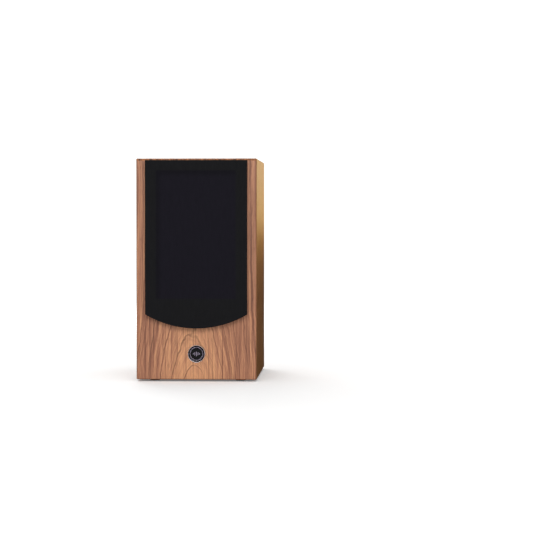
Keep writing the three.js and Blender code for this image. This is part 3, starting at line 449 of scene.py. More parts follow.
for node_name, node in nodes.items():
    wear(node, panel_looks.get(node_name) or finishes.get(slot_of[node_name], silk_look))


# ---- edges of the CAD pieces
def smooth_by_angle(obj, degrees=32):
    obj.data.polygons.foreach_set("use_smooth", np.ones(len(obj.data.polygons), bool))
    obj.data.set_sharp_from_angle(angle=math.radians(degrees))


def soften(node_name, width):
    """Joins the split corners of a CAD solid and rounds its sharp edges a little. Its own points stay where
    they are, because modifiers do both."""
    obj = nodes[node_name]
    if "custom_normal" in obj.data.attributes:
        obj.data.attributes.remove(obj.data.attributes["custom_normal"])
    weld = obj.modifiers.new("weld", "WELD")
    weld.merge_threshold = 1e-6
    bevel = obj.modifiers.new("bevel", "BEVEL")
    bevel.width = width
    bevel.segments = 2
    bevel.limit_method = "ANGLE"
    bevel.angle_limit = math.radians(35)
    bevel.harden_normals = True
    smooth_by_angle(obj)


for node_name in panel_looks:
    soften(node_name, 0.35 * MM)
soften("grille_frame", 0.4 * MM)


# ---- mesh helpers
ON_AXIS = 1e-7  # a smaller radius than this is a point on the axis


def fillet(outline, radius, steps=3, closed=True, smooth_below=24):
    """A polyline with its corners rounded. Corners that turn by less than smooth_below degrees stay."""
    made = []
    count = len(outline)
    for i, corner in enumerate(outline):
        if not closed and i in (0, count - 1):
            made.append(tuple(corner))
            continue
        here = Vector(corner)
        before = Vector(outline[i - 1]) - here
        after = Vector(outline[(i + 1) % count]) - here
        turn = math.pi - before.angle(after)
        if turn < math.radians(smooth_below) or here.x < ON_AXIS:
            made.append(tuple(corner))
            continue
        back = min(radius * math.tan(turn / 2), 0.45 * before.length, 0.45 * after.length)
        start, end = here + before.normalized() * back, here + after.normalized() * back
        for k in range(steps + 1):
            t = k / steps
            made.append(tuple(start * (1 - t) ** 2 + here * (2 * t * (1 - t)) + end * t * t))
    return made


def arc_points(centre_r, centre_y, radius, start, end, steps):
    angles = [start + (end - start) * i / steps for i in range(steps + 1)]
    return [(centre_r + radius * math.cos(a), centre_y + radius * math.sin(a)) for a in angles]


def new_object(name, mesh):
    obj = bpy.data.objects.new(name, mesh)
    bpy.context.scene.collection.objects.link(obj)
    return obj


def offset(r, y, *pairs):
    """Points (radius, y) in metres, from pairs in millimetres that count from r and y."""
    return [(r + dr * MM, y + dy * MM) for dr, dy in pairs]


def bridge(bm, first, second):
    """A band of faces between two rings of as many points."""
    for k in range(len(first)):
        j = (k + 1) % len(first)
        bm.faces.new((first[k], first[j], second[j], second[k]))


def finished(bm, name):
    bmesh.ops.recalc_face_normals(bm, faces=bm.faces)
    mesh = bpy.data.meshes.new(name)
    bm.to_mesh(mesh)
    bm.free()
    return new_object(name, mesh)


def loft(name, outline, centre, segments=96, shape=None, shaped=()):
    """A body turned about an axis along Y through centre. outline is a list of (radius, y) in metres, and
    one that doesn't end on the axis is closed on itself. shape(angle) scales the radius of the outline's
    points that shaped lists."""
    bm = bmesh.new()
    rings = []
    for index, (radius, y) in enumerate(outline):
        if radius < ON_AXIS:
            rings.append([bm.verts.new((centre[0], y, centre[2]))] * segments)
            continue
        ring = []
        for k in range(segments):
            a = 2 * math.pi * k / segments
            factor = shape(a) if index in shaped else 1.0
            x, z = radius * factor * math.cos(a), radius * factor * math.sin(a)
            ring.append(bm.verts.new((centre[0] + x, y, centre[2] + z)))
        rings.append(ring)
    pairs = list(zip(rings, rings[1:]))
    if outline[0][0] > ON_AXIS and outline[-1][0] > ON_AXIS:
        pairs.append((rings[-1], rings[0]))
    for first, second in pairs:
        for k in range(segments):
            j = (k + 1) % segments
            corners = [first[k], first[j], second[j], second[k]]
            unique = [v for i, v in enumerate(corners) if v not in corners[:i]]
            if len(unique) > 2:
                bm.faces.new(unique)
    return finished(bm, name)


def settle(obj, body, slot_name, material=None, replaces=(), degrees=32):
    """Gives a finished piece its look and its body, and hides the CAD nodes that it stands for."""
    wear(obj, material or finishes[slot_name])
    smooth_by_angle(obj, degrees)
    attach(obj, body)
    if replaces:
        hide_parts(*replaces)
    return obj


def nodes_named(part):
    return [node_name for node_name in sorted(nodes) if part in node_name]


def body_of(node_name):
    return nodes[node_name]["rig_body"]


def radial_blend(obj):
    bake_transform(obj)


def dress(obj, material, replaces):
    """As settle, but it gives the piece no body; for a piece that lies between two bodies."""
    wear(obj, material)
    smooth_by_angle(obj)
    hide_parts(*replaces)
    return obj


# ---- grille cloth
CLOTH_LOW, CLOTH_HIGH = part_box("grille_cloth")
GRILLE_HALF = CLOTH_HIGH.x
GRILLE_TOP, GRILLE_LOW = CLOTH_HIGH.z, CLOTH_LOW.z
ARCH_RISE = 23 * MM
FRAME_REAR = FRONT_Y - 0.5 * MM
WINDOW_TOP = GRILLE_TOP - 16.8 * MM
WINDOW_BOTTOM = GRILLE_LOW + 48.8 * MM
WINDOW_HALF = 66 * MM


def grille_outline(grow, per_side=40):
    """Points round the grille: square top corners, straight sides and an arched lower edge. grow moves the
    outline outwards."""
    half, top = GRILLE_HALF + grow, GRILLE_TOP + grow
    chord = GRILLE_HALF
    arch_radius = (chord * chord + ARCH_RISE * ARCH_RISE) / (2 * ARCH_RISE)
    middle_z = GRILLE_LOW + arch_radius
    radius = arch_radius + grow
    corner_z = middle_z - math.sqrt(radius * radius - half * half)
    corner_angle = math.asin(half / radius)
    points = []
    for i in range(per_side + 1):
        a = -corner_angle + 2 * corner_angle * i / per_side
        points.append((radius * math.sin(a), middle_z - radius * math.cos(a)))
    for i in range(1, per_side):
        points.append((half, corner_z + (top - corner_z) * i / per_side))
    for i in range(per_side + 1):
        points.append((half - 2 * half * i / per_side, top))
    for i in range(1, per_side):
        points.append((-half, top + (corner_z - top) * i / per_side))
    return points


def grille_fabric():
    """One sheet of cloth over the front of the frame, round its edge and folded onto its back."""
    proud = 0.35 * MM
    front = CLOTH_LOW.y
    edge_radius = 1.6 * MM
    # (grow, y) from the front face round the edge to the fold behind the frame
    profile = arc_points(proud - edge_radius, front + edge_radius, edge_radius, -math.pi / 2, 0, 6)
    for y in np.linspace(front + edge_radius + 1.5 * MM, FRAME_REAR - 0.6 * MM, 4):
        profile.append((proud, float(y)))
    profile += offset(proud, FRAME_REAR, (-0.25, 0.05)) + offset(0, FRAME_REAR, (-3, 0.12), (-9, 0.12))
    bm = bmesh.new()
    rings = [[bm.verts.new((x, y, z)) for x, z in grille_outline(grow)] for grow, y in profile]
    for first, second in zip(rings, rings[1:]):
        bridge(bm, first, second)
    # The flat front is closed by rings that shrink towards the middle of the frame.
    inner = rings[0]
    centre = Vector((0, front, (GRILLE_TOP + GRILLE_LOW) / 2))
    for share in (0.97, 0.9, 0.78, 0.62, 0.44, 0.24):
        ring = [bm.verts.new(centre + (v.co - centre) * share) for v in rings[0]]
        bridge(bm, ring, inner)
        inner = ring
    bm.faces.new(inner)
    obj = finished(bm, "grille_fabric")
    thick = obj.modifiers.new("thickness", "SOLIDIFY")
    thick.thickness = 0.3 * MM
    thick.offset = -1
    return obj


fabric_look = weave(
    "grille_cloth_look", srgb(14, 14, 15), srgb(32, 32, 34), 1.1 * MM, (0.82, 0.96), bump=0.18 * MM,
    window=(WINDOW_HALF, WINDOW_BOTTOM, WINDOW_TOP), Specular_IOR_Level=0.06,
)
fabric = settle(grille_fabric(), "grille", "grille_cloth", fabric_look, ["grille_cloth"], 50)


# ---- badge
badge = middle("badge_rim")
badge_radius = half_size("badge_rim").x
rim_low, rim_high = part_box("badge_rim")
plate_low, plate_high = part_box("badge_plate")
rim_outline = fillet(
    offset(badge_radius, rim_low.y, (-1.0, 0.45), (-0.45, 0), (-0.1, 0.7))
    + offset(badge_radius, rim_high.y, (0, 0), (-1.0, 0)),
    0.5 * MM, 4,
)
settle(loft("badge_bezel", rim_outline, badge, 96), "cabinet", "chrome", replaces=["badge_rim"])
plate_radius = badge_radius - 1.05 * MM
PLATE_CROWN = 0.35 * MM
crown = [(plate_radius * s, plate_low.y + PLATE_CROWN * s * s) for s in (1, 0.8, 0.6, 0.4, 0.2)]
plate_outline = [(0.0, plate_high.y), (plate_radius, plate_high.y)] + crown + [(0.0, plate_low.y)]
settle(loft("badge_disc", plate_outline, badge, 96), "cabinet", "badge_black", replaces=["badge_plate"])


def add_bar(bm, points, y_front, y_back):
    """A raised plate with the outline points, given as (x, z)."""
    front = [bm.verts.new((x, y_front, z)) for x, z in points]
    back = [bm.verts.new((x, y_back, z)) for x, z in points]
    bm.faces.new(front)
    bm.faces.new(back)
    bridge(bm, front, back)


def rectangle(x, z, half_x, half_z):
    return [(x + sx * half_x, z + sz * half_z) for sx, sz in ((-1, -1), (1, -1), (1, 1), (-1, 1))]


def polar(radius, degrees):
    a = math.radians(degrees)
    return badge[0] + radius * math.cos(a), badge[2] + radius * math.sin(a)


TICKS, TICK_TURN = 40, 1.7  # how many, and half the turn that each takes, in degrees
TICK_IN, TICK_OUT = 9.9 * MM, 11.4 * MM
LEVELS, LEVEL_PITCH, LEVEL_HALF = (2.4, 5.0, 7.6, 5.0, 2.4), 2.6 * MM, 0.42 * MM  # heights in millimetres


def badge_relief():
    """A generic mark in raised chrome: an even ring of fine ticks, as on a dial, round five level bars."""
    bm = bmesh.new()
    face, deep = plate_low.y - 0.28 * MM, plate_low.y + 0.5 * MM
    for i in range(TICKS):
        start, end = 360 * i / TICKS - TICK_TURN, 360 * i / TICKS + TICK_TURN
        outer, inner = [polar(TICK_OUT, a) for a in (start, end)], [polar(TICK_IN, a) for a in (end, start)]
        add_bar(bm, outer + inner, face, deep)
    for i, height in enumerate(LEVELS):
        bar = rectangle(badge[0] + (i - 2) * LEVEL_PITCH, badge[2], LEVEL_HALF, height / 2 * MM)
        add_bar(bm, bar, face, deep)
    obj = finished(bm, "badge_relief")
    edge = obj.modifiers.new("bevel", "BEVEL")
    edge.width, edge.segments = 0.12 * MM, 2
    return obj


dark_chrome = speckled(
    "dark_chrome_look", srgb(186, 174, 196), srgb(204, 192, 212), 600, (0.16, 0.26), bump=0, **METAL
)
settle(badge_relief(), "cabinet", "chrome", dark_chrome)


# ---- woofer
woofer = middle("woofer_cone")
WOOFER_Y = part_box("woofer_basket")[0].y  # front of the basket's flange
SEAT_Y = WOOFER_Y + 2 * MM
LIP_Y = SEAT_Y - 1.1 * MM
SKIN = 0.8 * MM
ROLL_OUT, ROLL_IN = 54.0 * MM, 46.0 * MM
LIP_OUT, LIP_IN = 57.6 * MM, 43.6 * MM
NECK, NECK_DEPTH = 13.0 * MM, 28 * MM

bezel_flat = (
    offset(0, WOOFER_Y, (58.2, -0.32), (64.9, -0.32))
    + offset(0, FRONT_Y, (65.55, -0.10), (65.55, -0.02))
    + offset(0, WOOFER_Y, (58.2, -0.02))
)
bezel = fillet(bezel_flat, 0.25 * MM, 3)
settle(loft("woofer_bezel", bezel, woofer, 128), "cabinet", "black_metal")

trim_flat = offset(0, LIP_Y, (57.75, -0.2), (57.75, -1.5), (54.4, -1.15), (54.35, -0.2))
trim = fillet(trim_flat, 0.45 * MM, 4)
settle(loft("woofer_trim", trim, woofer, 128), "cabinet", "rubber", replaces=["woofer_trim_ring"])


def roll_outline(outer_lip, roll_out, roll_in, inner_lip, lip_y, skin, steps):
    """A half roll between two flat lips, as a closed outline. The roll stands out towards the front."""
    half, mid = (roll_out - roll_in) / 2, (roll_out + roll_in) / 2
    top = [(inner_lip, lip_y)] + arc_points(mid, lip_y, half, -math.pi, 0, steps) + [(outer_lip, lip_y)]
    under = arc_points(mid, lip_y, half - skin, 0, -math.pi, steps)
    return top + [(outer_lip, lip_y + skin)] + under + [(inner_lip, lip_y + skin)]


surround_outline = roll_outline(LIP_OUT, ROLL_OUT, ROLL_IN, LIP_IN, LIP_Y, SKIN, 14)
surround = loft("woofer_roll", surround_outline, woofer, 128)
radial_blend(surround)
rubber_gloss = speckled("surround_look", srgb(16, 16, 17), srgb(25, 25, 26), 1300, (0.38, 0.5))
dress(surround, rubber_gloss, ["woofer_surround"])


def cone_y(radius):
    share = (ROLL_IN - radius) / (ROLL_IN - NECK)
    return LIP_Y + SKIN + 0.3 * MM + (NECK_DEPTH - 1.1 * MM) * (1 - (1 - max(share, 0.0)) ** 1.25)


CONE_WALL = 1.0 * MM
CONE_LOW, CONE_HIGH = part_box("woofer_cone")
cone_front = [(float(r), cone_y(r)) for r in np.linspace(NECK, ROLL_IN - 0.2 * MM, 28)]
cone_front = [(r, min(max(y, CONE_LOW.y), CONE_HIGH.y - 1.2 * MM)) for r, y in cone_front]
cone_back = [(r, y + CONE_WALL) for r, y in reversed(cone_front)]


def paper(name, centre):
    """Black coated pulp: short matted fibres, and faint rings where the cone was pressed."""
    look = Look(name, Specular_IOR_Level=0.35)
    x, _, z = look.place()
    u, v = look.calc("SUBTRACT", x, centre[0]), look.calc("SUBTRACT", z, centre[2])
    radius = look.hypot(u, v)
    angle = look.calc("ARCTAN2", v, u)
    radial = look.vector(look.calc("MULTIPLY", angle, 1.6), look.calc("MULTIPLY", radius, 22), 0.0)
    fibres = look.noise(radial, 34, 4, 0.65)
    matted = look.noise(look.coordinates(), 420, 4, 0.7)
    rings = look.noise_along(radius, 420, 2, 0.5)
    tone = look.calc("MULTIPLY_ADD", fibres, 0.4, look.calc("MULTIPLY", matted, 0.6))
    look.colour(look.ramp(tone, (0.3, srgb(20, 20, 22)), (0.72, srgb(40, 39, 41))))
    look.rough(matted, 0.5, 0.72)
    height = look.calc("MULTIPLY_ADD", rings, 0.8, look.calc("MULTIPLY_ADD", matted, 0.5, fibres))
    look.bump(height, 0.16 * MM, 0.7)
    return look.material


paper_look = paper("cone_paper_look", woofer)
cone = loft("woofer_cone_shell", cone_front + cone_back, woofer, 128)
settle(cone, "woofer_diaphragm", "cone_paper", paper_look, ["woofer_cone"])
cap_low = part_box("woofer_dust_cap")[0]
CAP_RADIUS, CAP_RISE = 20 * MM, 8 * MM


def dome_outline(radius, rise, edge_y, skin, steps=18):
    """A spherical shell that bulges to the front, from its edge at edge_y."""
    sphere = (radius * radius + rise * rise) / (2 * rise)
    centre_y = edge_y - rise + sphere
    start, end = -math.pi / 2, math.asin(radius / sphere) - math.pi / 2
    outer = arc_points(0.0, centre_y, sphere, start, end, steps)
    return outer + arc_points(0.0, centre_y, sphere - skin, end, start, steps)


cap = loft("woofer_cap", dome_outline(CAP_RADIUS, CAP_RISE, cap_low.y + CAP_RISE, SKIN), woofer, 96)
settle(cap, "woofer_diaphragm", "cone_paper", paper_look, ["woofer_dust_cap"])

spider_low, spider_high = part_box("woofer_spider")
SPIDER_OUT = half_size("woofer_spider").x
spider_mid = (spider_low.y + spider_high.y) / 2
WAVE_START, WAVE_END, WAVES, WAVE_HEIGHT = 15 * MM, 30 * MM, 3, 0.55 * MM


def spider_y(radius):
    if not WAVE_START < radius < WAVE_END:
        return spider_mid
    share = (radius - WAVE_START) / (WAVE_END - WAVE_START)
    return spider_mid + WAVE_HEIGHT * math.sin(share * 2 * WAVES * math.pi)


wave = [(float(r), spider_y(r)) for r in np.linspace(NECK + 1.2 * MM, SPIDER_OUT, 61)]
half_cloth = 0.2 * MM
spider_outline = [(r, y - half_cloth) for r, y in wave] + [(r, y + half_cloth) for r, y in reversed(wave)]
spider = loft("woofer_spider_cloth", spider_outline, woofer, 72)
radial_blend(spider)
spider_look = weave("spider_look", srgb(150, 112, 52), srgb(190, 150, 84), 0.9 * MM, (0.7, 0.85), 0.05 * MM)
dress(spider, spider_look, ["woofer_spider"])


# ---- screws
def hexagon(angle):
    """The radius of a hexagon, as a share of the radius to its corners."""
    return math.cos(math.pi / 6) / math.cos((angle % (math.pi / 3)) - math.pi / 6)


def screw_outline(front, radius, length):
    """A pan head with a hexagonal socket, and a shank that ends in a point."""
    socket, shank, thick = 1.35 * MM, radius * 0.55, 1.8 * MM
    return (
        offset(0.0, front, (0, 1.1))
        + offset(socket, front, (0, 0.9), (0, 0.12), (0.15, 0))
        + offset(radius, front, (-0.55, 0.05), (-0.12, 0.35), (0, 0.8))
        + [(radius, front + thick), (shank, front + thick)]
        + [(shank, front + length - 2.5 * MM), (0.0, front + length)]
    )


for node_name in nodes_named("_screw_"):
    a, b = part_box(node_name)
    outline = screw_outline(a.y, (b.x - a.x) / 2, b.y - a.y)
    bolt = loft(node_name + "_bolt", outline, middle(node_name), 48, shape=hexagon, shaped=(1, 2, 3))
    settle(bolt, "cabinet", "black_metal", replaces=[node_name])

# ---- tweeter
tweeter = middle("tweeter_dome")
TWEETER_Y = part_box("tweeter_faceplate")[0].y
face_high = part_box("tweeter_faceplate")[1].y
FLANGE_R = half_size("tweeter_faceplate").x
THROAT, HORN, THROAT_DEPTH = 17.5 * MM, 27 * MM, 4.5 * MM
PLATE_THICK = 4 * MM
horn = [
    (HORN - (HORN - THROAT) * t, TWEETER_Y + THROAT_DEPTH * (1 - (1 - t) ** 1.7))
    for t in [i / 12 for i in range(1, 13)]
]
face_outline = fillet(
    [(FLANGE_R, TWEETER_Y + PLATE_THICK), (FLANGE_R, TWEETER_Y)]
    + offset(HORN, TWEETER_Y, (1.4, 0), (0.9, 0.35), (0, 0.35)),
    0.7 * MM, 4, closed=False,
)
face_outline += horn + [(THROAT, face_high), (30 * MM, face_high), (30 * MM, TWEETER_Y + PLATE_THICK)]
face = loft("tweeter_plate", face_outline, tweeter, 128)
settle(face, "cabinet", "black_abs", replaces=["tweeter_faceplate"])
t_low, t_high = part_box("tweeter_surround")
T_LIP = t_high.y - 0.5 * MM
T_IN, T_OUT = 13.0 * MM, 16.6 * MM
t_rim = half_size("tweeter_surround").x
t_roll = roll_outline(t_rim, T_OUT, T_IN + 0.1 * MM, T_IN - 0.2 * MM, T_LIP, 0.45 * MM, 10)
t_roll = [(r, max(y, t_low.y)) for r, y in t_roll]
t_surround = loft("tweeter_roll", t_roll, tweeter, 96)
radial_blend(t_surround)
dress(t_surround, silk_look, ["tweeter_surround"])
DOME_RADIUS, DOME_RISE = 12.7 * MM, 5.5 * MM
dome_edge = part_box("tweeter_dome")[0].y + DOME_RISE
dome = loft("tweeter_dome_silk", dome_outline(DOME_RADIUS, DOME_RISE, dome_edge, 0.45 * MM), tweeter, 96)
settle(dome, "tweeter_diaphragm", "silk", silk_look, ["tweeter_dome"])

# ---- grille sockets
SOCKET_BORE = 4.3 * MM
for node_name in nodes_named("grille_socket"):
    a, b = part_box(node_name)
    r = (b.x - a.x) / 2
    outline = fillet(
        [(0.0, b.y - 1.2 * MM), (SOCKET_BORE, b.y - 1.2 * MM)]
        + offset(SOCKET_BORE, a.y, (0, 0.5), (0.5, 0))
        + offset(r, a.y, (0, 0), (0, 1.2), (-1.5, 1.2))
        + [(r - 1.5 * MM, b.y), (0.0, b.y)],
        0.3 * MM, 3, closed=False,
    )
    socket = loft(node_name + "_cup", outline, middle(node_name), 64)
    settle(socket, "cabinet", "rubber", replaces=[node_name])

# ---- port
port = middle("port_tube")
p_low, p_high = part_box("port_tube")
BORE, FLARE, PORT_WALL = 22.5 * MM, 8 * MM, 2.5 * MM
FLANGE = half_size("port_tube").x
mouth = arc_points(BORE + FLARE, p_high.y - FLARE, FLARE, math.pi, math.pi / 2, 14)
flange_edge = (
    offset(FLANGE, p_high.y, (-2.4, 0), (0, -0.1)) + offset(FLANGE, REAR_Y + GAP, (0, 0), (-3, 0))
)
port_outline = (
    [(BORE, p_low.y + 1.2 * MM)]
    + mouth
    + fillet(flange_edge, 1.5 * MM, 5, closed=False)
    + [(BORE + PORT_WALL, REAR_Y + GAP)]
    + offset(BORE + PORT_WALL, p_low.y, (0, 0.8), (-0.8, 0))
    + offset(BORE, p_low.y, (0.8, 0))
)
settle(loft("port_pipe", port_outline, port, 128), "cabinet", "black_abs", replaces=["port_tube"])

# ---- terminals
def knurl(angle):
    """Twenty-four shallow lobes round the knob."""
    return 1 - 0.035 * (0.5 - 0.5 * math.cos(24 * angle)) ** 0.7


POST_HOLE = 3.3 * MM
for colour in ("black", "red"):
    knob_name, ring_name = f"{colour}_post_knob", f"{colour}_post_ring"
    a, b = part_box(knob_name)
    r = (b.x - a.x) / 2
    knob_outline = (
        offset(POST_HOLE, a.y, (0, 0.3), (0.3, 0))
        + offset(r, a.y, (-0.8, 0), (-0.25, 0.25), (0, 0.9), (0, 5.6), (-0.35, 6.0), (-0.35, 6.9), (0, 7.3))
        + offset(r, b.y, (0, -1.0), (-0.3, -0.3), (-1.0, 0))
        + offset(POST_HOLE, b.y, (0.8, 0), (0, -0.6))
    )
    knob = loft(knob_name + "_knurled", knob_outline, middle(knob_name), 144, knurl, (4, 5, 8, 9))
    settle(knob, body_of(knob_name), "gold", replaces=[knob_name])
    a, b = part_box(ring_name)
    r = (b.x - a.x) / 2
    ring_outline = fillet([(POST_HOLE, a.y), (r, a.y), (r, b.y), (POST_HOLE, b.y)], 0.6 * MM, 4)
    collar = loft(ring_name + "_collar", ring_outline, middle(ring_name), 72)
    settle(collar, body_of(ring_name), colour + "_plastic", replaces=[ring_name])

cup_low, cup_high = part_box("terminal_cup")
cup = (cup_low + cup_high) / 2
# Half width, half height and corner radius of the moulded cup's flange, its body and its recess.
CUP_FLANGE = (cup_high.x - cup.x, cup_high.z - cup.z, 8 * MM)
CUP_BODY = (CUP_FLANGE[0] - 8 * MM, CUP_FLANGE[1] - 8 * MM, 7 * MM)
CUP_RECESS = (CUP_BODY[0] - 2 * MM, CUP_BODY[1] - 2 * MM, 5 * MM)
CUP_FACE = cup_high.y - 0.6 * MM  # the screw heads stand this much proud of the flange
CUP_FLOOR = cup_low.y + 2.5 * MM
CUP_ROUND, CUP_FLAT = 0.9 * MM, 0.4 * MM  # radius of its edges, and a narrow flat band beside each


def wall_to_flat(size, y_from, y_flat, steps=4):
    """Sections (size, inset, y) round an edge, from a wall that starts at y_from to a flat at y_flat."""
    rise = math.copysign(CUP_ROUND, y_flat - y_from)
    turns = [math.pi / 2 * i / steps for i in range(steps + 1)]
    return [(size, CUP_ROUND * (1 - math.cos(a)), y_flat - rise * (1 - math.sin(a))) for a in turns]


def rounded_rectangle(bm, size, inset, y, steps=8):
    (half_x, half_z, corner), ring = size, []
    radius = corner - inset
    for quarter, (sx, sz) in enumerate([(1, 1), (-1, 1), (-1, -1), (1, -1)]):
        for k in range(steps + 1):
            a = (quarter + k / steps) * math.pi / 2
            x = cup.x + sx * (half_x - corner) + radius * math.cos(a)
            z = cup.z + sz * (half_z - corner) + radius * math.sin(a)
            ring.append(bm.verts.new((x, y, z)))
    return ring


def cup_shell():
    """The cup as one shell: from its back over the body, the flange and the face into the recess."""
    flange_y = REAR_Y + GAP
    flat_inset = CUP_ROUND + CUP_FLAT
    sections = [(CUP_BODY, flat_inset, cup_low.y)]
    sections += reversed(wall_to_flat(CUP_BODY, flange_y, cup_low.y))
    sections += [(CUP_BODY, 0.0, flange_y), (CUP_FLANGE, 0.0, flange_y)]
    sections += wall_to_flat(CUP_FLANGE, flange_y, CUP_FACE)
    sections += [(CUP_FLANGE, flat_inset, CUP_FACE), (CUP_RECESS, -flat_inset, CUP_FACE)]
    mouth_edge = reversed(wall_to_flat(CUP_RECESS, CUP_FLOOR, CUP_FACE))
    sections += [(size, -inset, y) for size, inset, y in mouth_edge]
    sections += wall_to_flat(CUP_RECESS, CUP_FACE, CUP_FLOOR)
    sections += [(CUP_RECESS, flat_inset, CUP_FLOOR)]
    bm = bmesh.new()
    rings = [rounded_rectangle(bm, *section) for section in sections]
    for first, second in zip(rings, rings[1:]):
        bridge(bm, first, second)
    bm.faces.new(rings[0])
    bm.faces.new(rings[-1])
    return finished(bm, "terminal_cup_shell")


def cross_slot(angle):
    return 1 - 0.42 * abs(math.sin(2 * angle)) ** 0.6


settle(cup_shell(), "cabinet", "black_abs", replaces=["terminal_cup"])
CUP_SCREW_X, CUP_SCREW_Z = 42.6 * MM, 33.6 * MM
# (radius, y) from the cross slot over the domed head to its underside, with y from the object's back.
HEAD = [
    (0, -1.0), (0.9, -0.9), (0.9, -0.12), (1.05, -0.02), (1.7, -0.06), (2.3, -0.22), (2.6, -0.42),
    (2.7, -0.62), (2.7, -1.4), (0, -1.4),
]
for number, (x, z) in enumerate(rectangle(cup.x, cup.z, CUP_SCREW_X, CUP_SCREW_Z), 1):
    head = offset(0.0, cup_high.y, *HEAD)
    bolt = loft(f"cup_screw_{number}", head, (x, cup.y, z), 48, shape=cross_slot, shaped=(1, 2))
    settle(bolt, "cabinet", "steel")

# Raised plus and minus marks on the floor of the terminal recess, above the posts.
MARK_ABOVE, ARM, HALF = 15 * MM, 3.2 * MM, 0.6 * MM  # above the post's middle, half length, half thickness
MINUS = [(-ARM, -HALF), (ARM, -HALF), (ARM, HALF), (-ARM, HALF)]
PLUS = [
    (-ARM, -HALF), (-HALF, -HALF), (-HALF, -ARM), (HALF, -ARM), (HALF, -HALF), (ARM, -HALF),
    (ARM, HALF), (HALF, HALF), (HALF, ARM), (-HALF, ARM), (-HALF, HALF), (-ARM, HALF),
]
marks = bmesh.new()
for node_name, mark in (("red_post_stud", PLUS), ("black_post_stud", MINUS)):
    post = middle(node_name)
    outline = [(post.x + x, post.z + MARK_ABOVE + z) for x, z in mark]
    add_bar(marks, outline, CUP_FLOOR - 0.3 * MM, CUP_FLOOR + 0.6 * MM)
mark_look = speckled("mark_look", srgb(168, 168, 170), srgb(188, 188, 190), 900, (0.5, 0.62))
settle(finished(marks, "polarity_marks"), "cabinet", "black_abs", mark_look)

# ---- feet
for node_name in nodes_named("foot_"):
    a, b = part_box(node_name)
    centre = (a + b) / 2
    r = (b.x - a.x) / 2
    profile = (
        offset(0.0, a.z, (0, 0.9), (3.2, 0.9), (3.6, 0))
        + offset(r, a.z, (-1.2, 0), (-0.2, 0.7), (0, 1.6))
        + [(r, b.z), (0.0, b.z)]
    )
    profile = [(q, h - centre.z) for q, h in fillet(profile, 0.4 * MM, 3, closed=False)]
    # Turned about Y first, then tipped so that its axis stands upright.
    pad = loft(node_name + "_pad", profile, (0, 0, 0), 64)
    for vertex in pad.data.vertices:
        x, y, z = vertex.co
        vertex.co = (centre.x + x, centre.y - z, centre.z + y)
    pad.data.update()
    settle(pad, "cabinet", "rubber", replaces=[node_name])


# ---- damping foam
def foam_pad(name, node_name, inward):
    """A slab of convoluted foam: flat where it is glued to the side panel, with rows of low peaks."""
    a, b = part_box(node_name)
    rows, columns, pitch = 78, 40, 5  # the pitch of the peaks, in cells
    flat_x, top_x = (a.x, b.x) if inward > 0 else (b.x, a.x)
    bm = bmesh.new()
    grid = []
    for i in range(rows + 1):
        line = []
        for j in range(columns + 1):
            y, z = a.y + (b.y - a.y) * j / columns, a.z + (b.z - a.z) * i / rows
            peak = 0.5 + 0.25 * (math.cos(2 * math.pi * j / pitch) + math.cos(2 * math.pi * i / pitch))
            edge = min(i, rows - i, j, columns - j) == 0
            rise = 0.62 if edge else 0.60 + 0.38 * peak  # as a share of the pad's thickness
            line.append(bm.verts.new((flat_x + (top_x - flat_x) * rise, y, z)))
        grid.append(line)
    for i in range(rows):
        for j in range(columns):
            bm.faces.new((grid[i][j], grid[i][j + 1], grid[i + 1][j + 1], grid[i + 1][j]))
    border = grid[0] + [line[-1] for line in grid[1:]]
    border += grid[-1][-2::-1] + [line[0] for line in grid[-2:0:-1]]
    base = [bm.verts.new((flat_x, v.co.y, v.co.z)) for v in border]
    bridge(bm, border, base)
    bm.faces.new(base)
    return finished(bm, name)


for side, inward in (("left", 1), ("right", -1)):
    node_name = f"damping_foam_{side}"
    pad = foam_pad(f"foam_pad_{side}", node_name, inward)
    settle(pad, "cabinet", "foam", replaces=[node_name], degrees=80)


# ---- floor and light
def camera_only(tree, otherwise, for_camera):
    """A strength that is for_camera where the camera looks straight at it, and otherwise elsewhere."""
    level = tree.nodes.new("ShaderNodeMapRange")
    level.inputs["To Min"].default_value = otherwise
    level.inputs["To Max"].default_value = for_camera
    path = tree.nodes.new("ShaderNodeLightPath")
    tree.links.new(path.outputs["Is Camera Ray"], level.inputs["Value"])
    return level.outputs[0]


def plane(name, corners):
    mesh = bpy.data.meshes.new(name)
    mesh.from_pydata(corners, [], [tuple(range(len(corners)))])
    obj = new_object(name, mesh)
    return obj


# The floor glows for the camera, so that it turns into the white background: GLOW_NEAR round the object,
# where its shadow lies, and GLOW_MORE on top of that from GLOW_END on.
FLOOR_HALF = 12.0
GLOW_START, GLOW_END, GLOW_NEAR, GLOW_MORE = 0.7, 3.0, 0.16, 0.54
floor = plane("floor", [(x, y, FLOOR_Z) for x, y in rectangle(0, 0, FLOOR_HALF, FLOOR_HALF)])
floor_look = Look("floor_look", Base_Color=srgb(246, 246, 246), Roughness=0.9, Specular_IOR_Level=0.1)
floor_look.shader.inputs["Emission Color"].default_value = (1, 1, 1, 1)
away = floor_look.soft_step(floor_look.hypot(*floor_look.place()[:2]), GLOW_START, GLOW_END)
glow = floor_look.calc("MULTIPLY_ADD", away, GLOW_MORE, GLOW_NEAR)
glow = floor_look.calc("MULTIPLY", glow, camera_only(floor_look.tree, 0.0, 1.0))
floor_look.put(floor_look.shader.inputs["Emission Strength"], glow)
wear(floor, floor_look.material)

SKY_LIGHT, SKY_SEEN = 0.42, 1.15
world = bpy.data.worlds.new("studio")
bpy.context.scene.world = world
world.use_nodes = True
background = world.node_tree.nodes["Background"]
background.inputs["Color"].default_value = (1, 1, 1, 1)
world.node_tree.links.new(camera_only(world.node_tree, SKY_LIGHT, SKY_SEEN), background.inputs["Strength"])

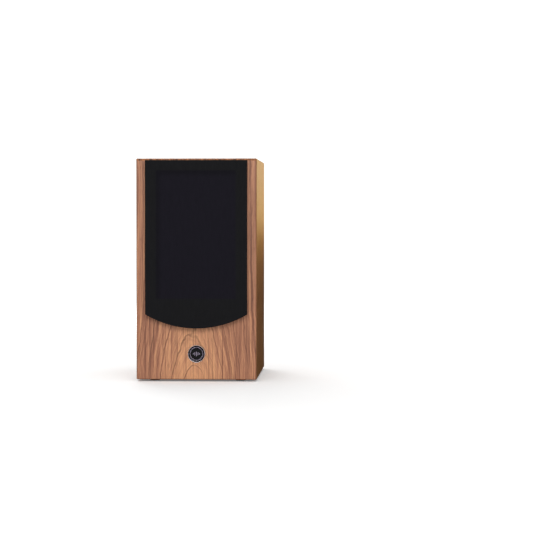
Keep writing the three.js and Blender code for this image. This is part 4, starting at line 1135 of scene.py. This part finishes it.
# A reflector card close behind the right side, warm above and dark below, and a dark flag on the floor
# beside it. Only reflections show them. They give the side the shading that a second speaker would.
SIDE_X, REAR_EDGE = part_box("right_side_panel")[1].x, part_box("right_side_panel")[1].y
SCREEN_NEAR, SCREEN_FAR = SIDE_X + 0.002, SIDE_X + 0.6
CARD_TOP, CARD_BEHIND, CARD_GLOW = 0.6, 0.02, 2.72
FLAG_FRONT, FLAG_REAR, FLAG_UP = -0.5, 0.6, 0.001


def screen_corners(low, high):
    return (SCREEN_NEAR, low), (SCREEN_FAR, low), (SCREEN_FAR, high), (SCREEN_NEAR, high)


card = plane("reflector", [(x, REAR_EDGE + CARD_BEHIND, z) for x, z in screen_corners(0.0, CARD_TOP)])
flag = plane("flag", [(x, y, FLOOR_Z + FLAG_UP) for x, y in screen_corners(FLAG_FRONT, FLAG_REAR)])
for screen in (card, flag):
    screen.visible_camera = screen.visible_diffuse = False
    screen.visible_shadow = screen.visible_transmission = False
wear(flag, speckled("flag_look", srgb(12, 10, 8), srgb(16, 13, 10), Specular_IOR_Level=0.0))
card_look = Look("reflector_look", Base_Color=(0, 0, 0, 1), Roughness=1.0, Specular_IOR_Level=0.0)
card_shade = card_look.ramp(
    card_look.calc("DIVIDE", card_look.place()[2], TOP_Z),
    (0.34, srgb(6, 4, 2)),
    (0.50, srgb(44, 30, 14)),
    (0.62, srgb(134, 100, 52)),
    (0.74, srgb(214, 178, 118)),
    (0.95, srgb(226, 196, 146)),
)
card_look.put(card_look.shader.inputs["Emission Color"], card_shade)
card_look.put(card_look.shader.inputs["Emission Strength"], CARD_GLOW)
wear(card, card_look.material)


def area_light(name, place, target, width, height, watts):
    data = bpy.data.lights.new(name, "AREA")
    data.shape = "RECTANGLE"
    data.size, data.size_y = width, height
    data.energy = watts
    obj = new_object(name, data)
    obj.location = place
    obj.rotation_euler = (Vector(target) - Vector(place)).to_track_quat("-Z", "Y").to_euler()
    obj.visible_camera = False


area_light("key", (-0.05, -3.1, 1.9), (0, 0, 0.2), 2.6, 1.6, watts=46)
area_light("fill", (1.2, -3.0, 1.4), (0, 0, 0.2), 1.8, 1.6, watts=18)
area_light("rim", (-0.5, 2.0, 1.35), (0, 0, 0.3), 1.2, 1.3, watts=24)
area_light("top", (0, 0.2, 2.6), (0, 0, 0), 2.4, 2.4, watts=16)
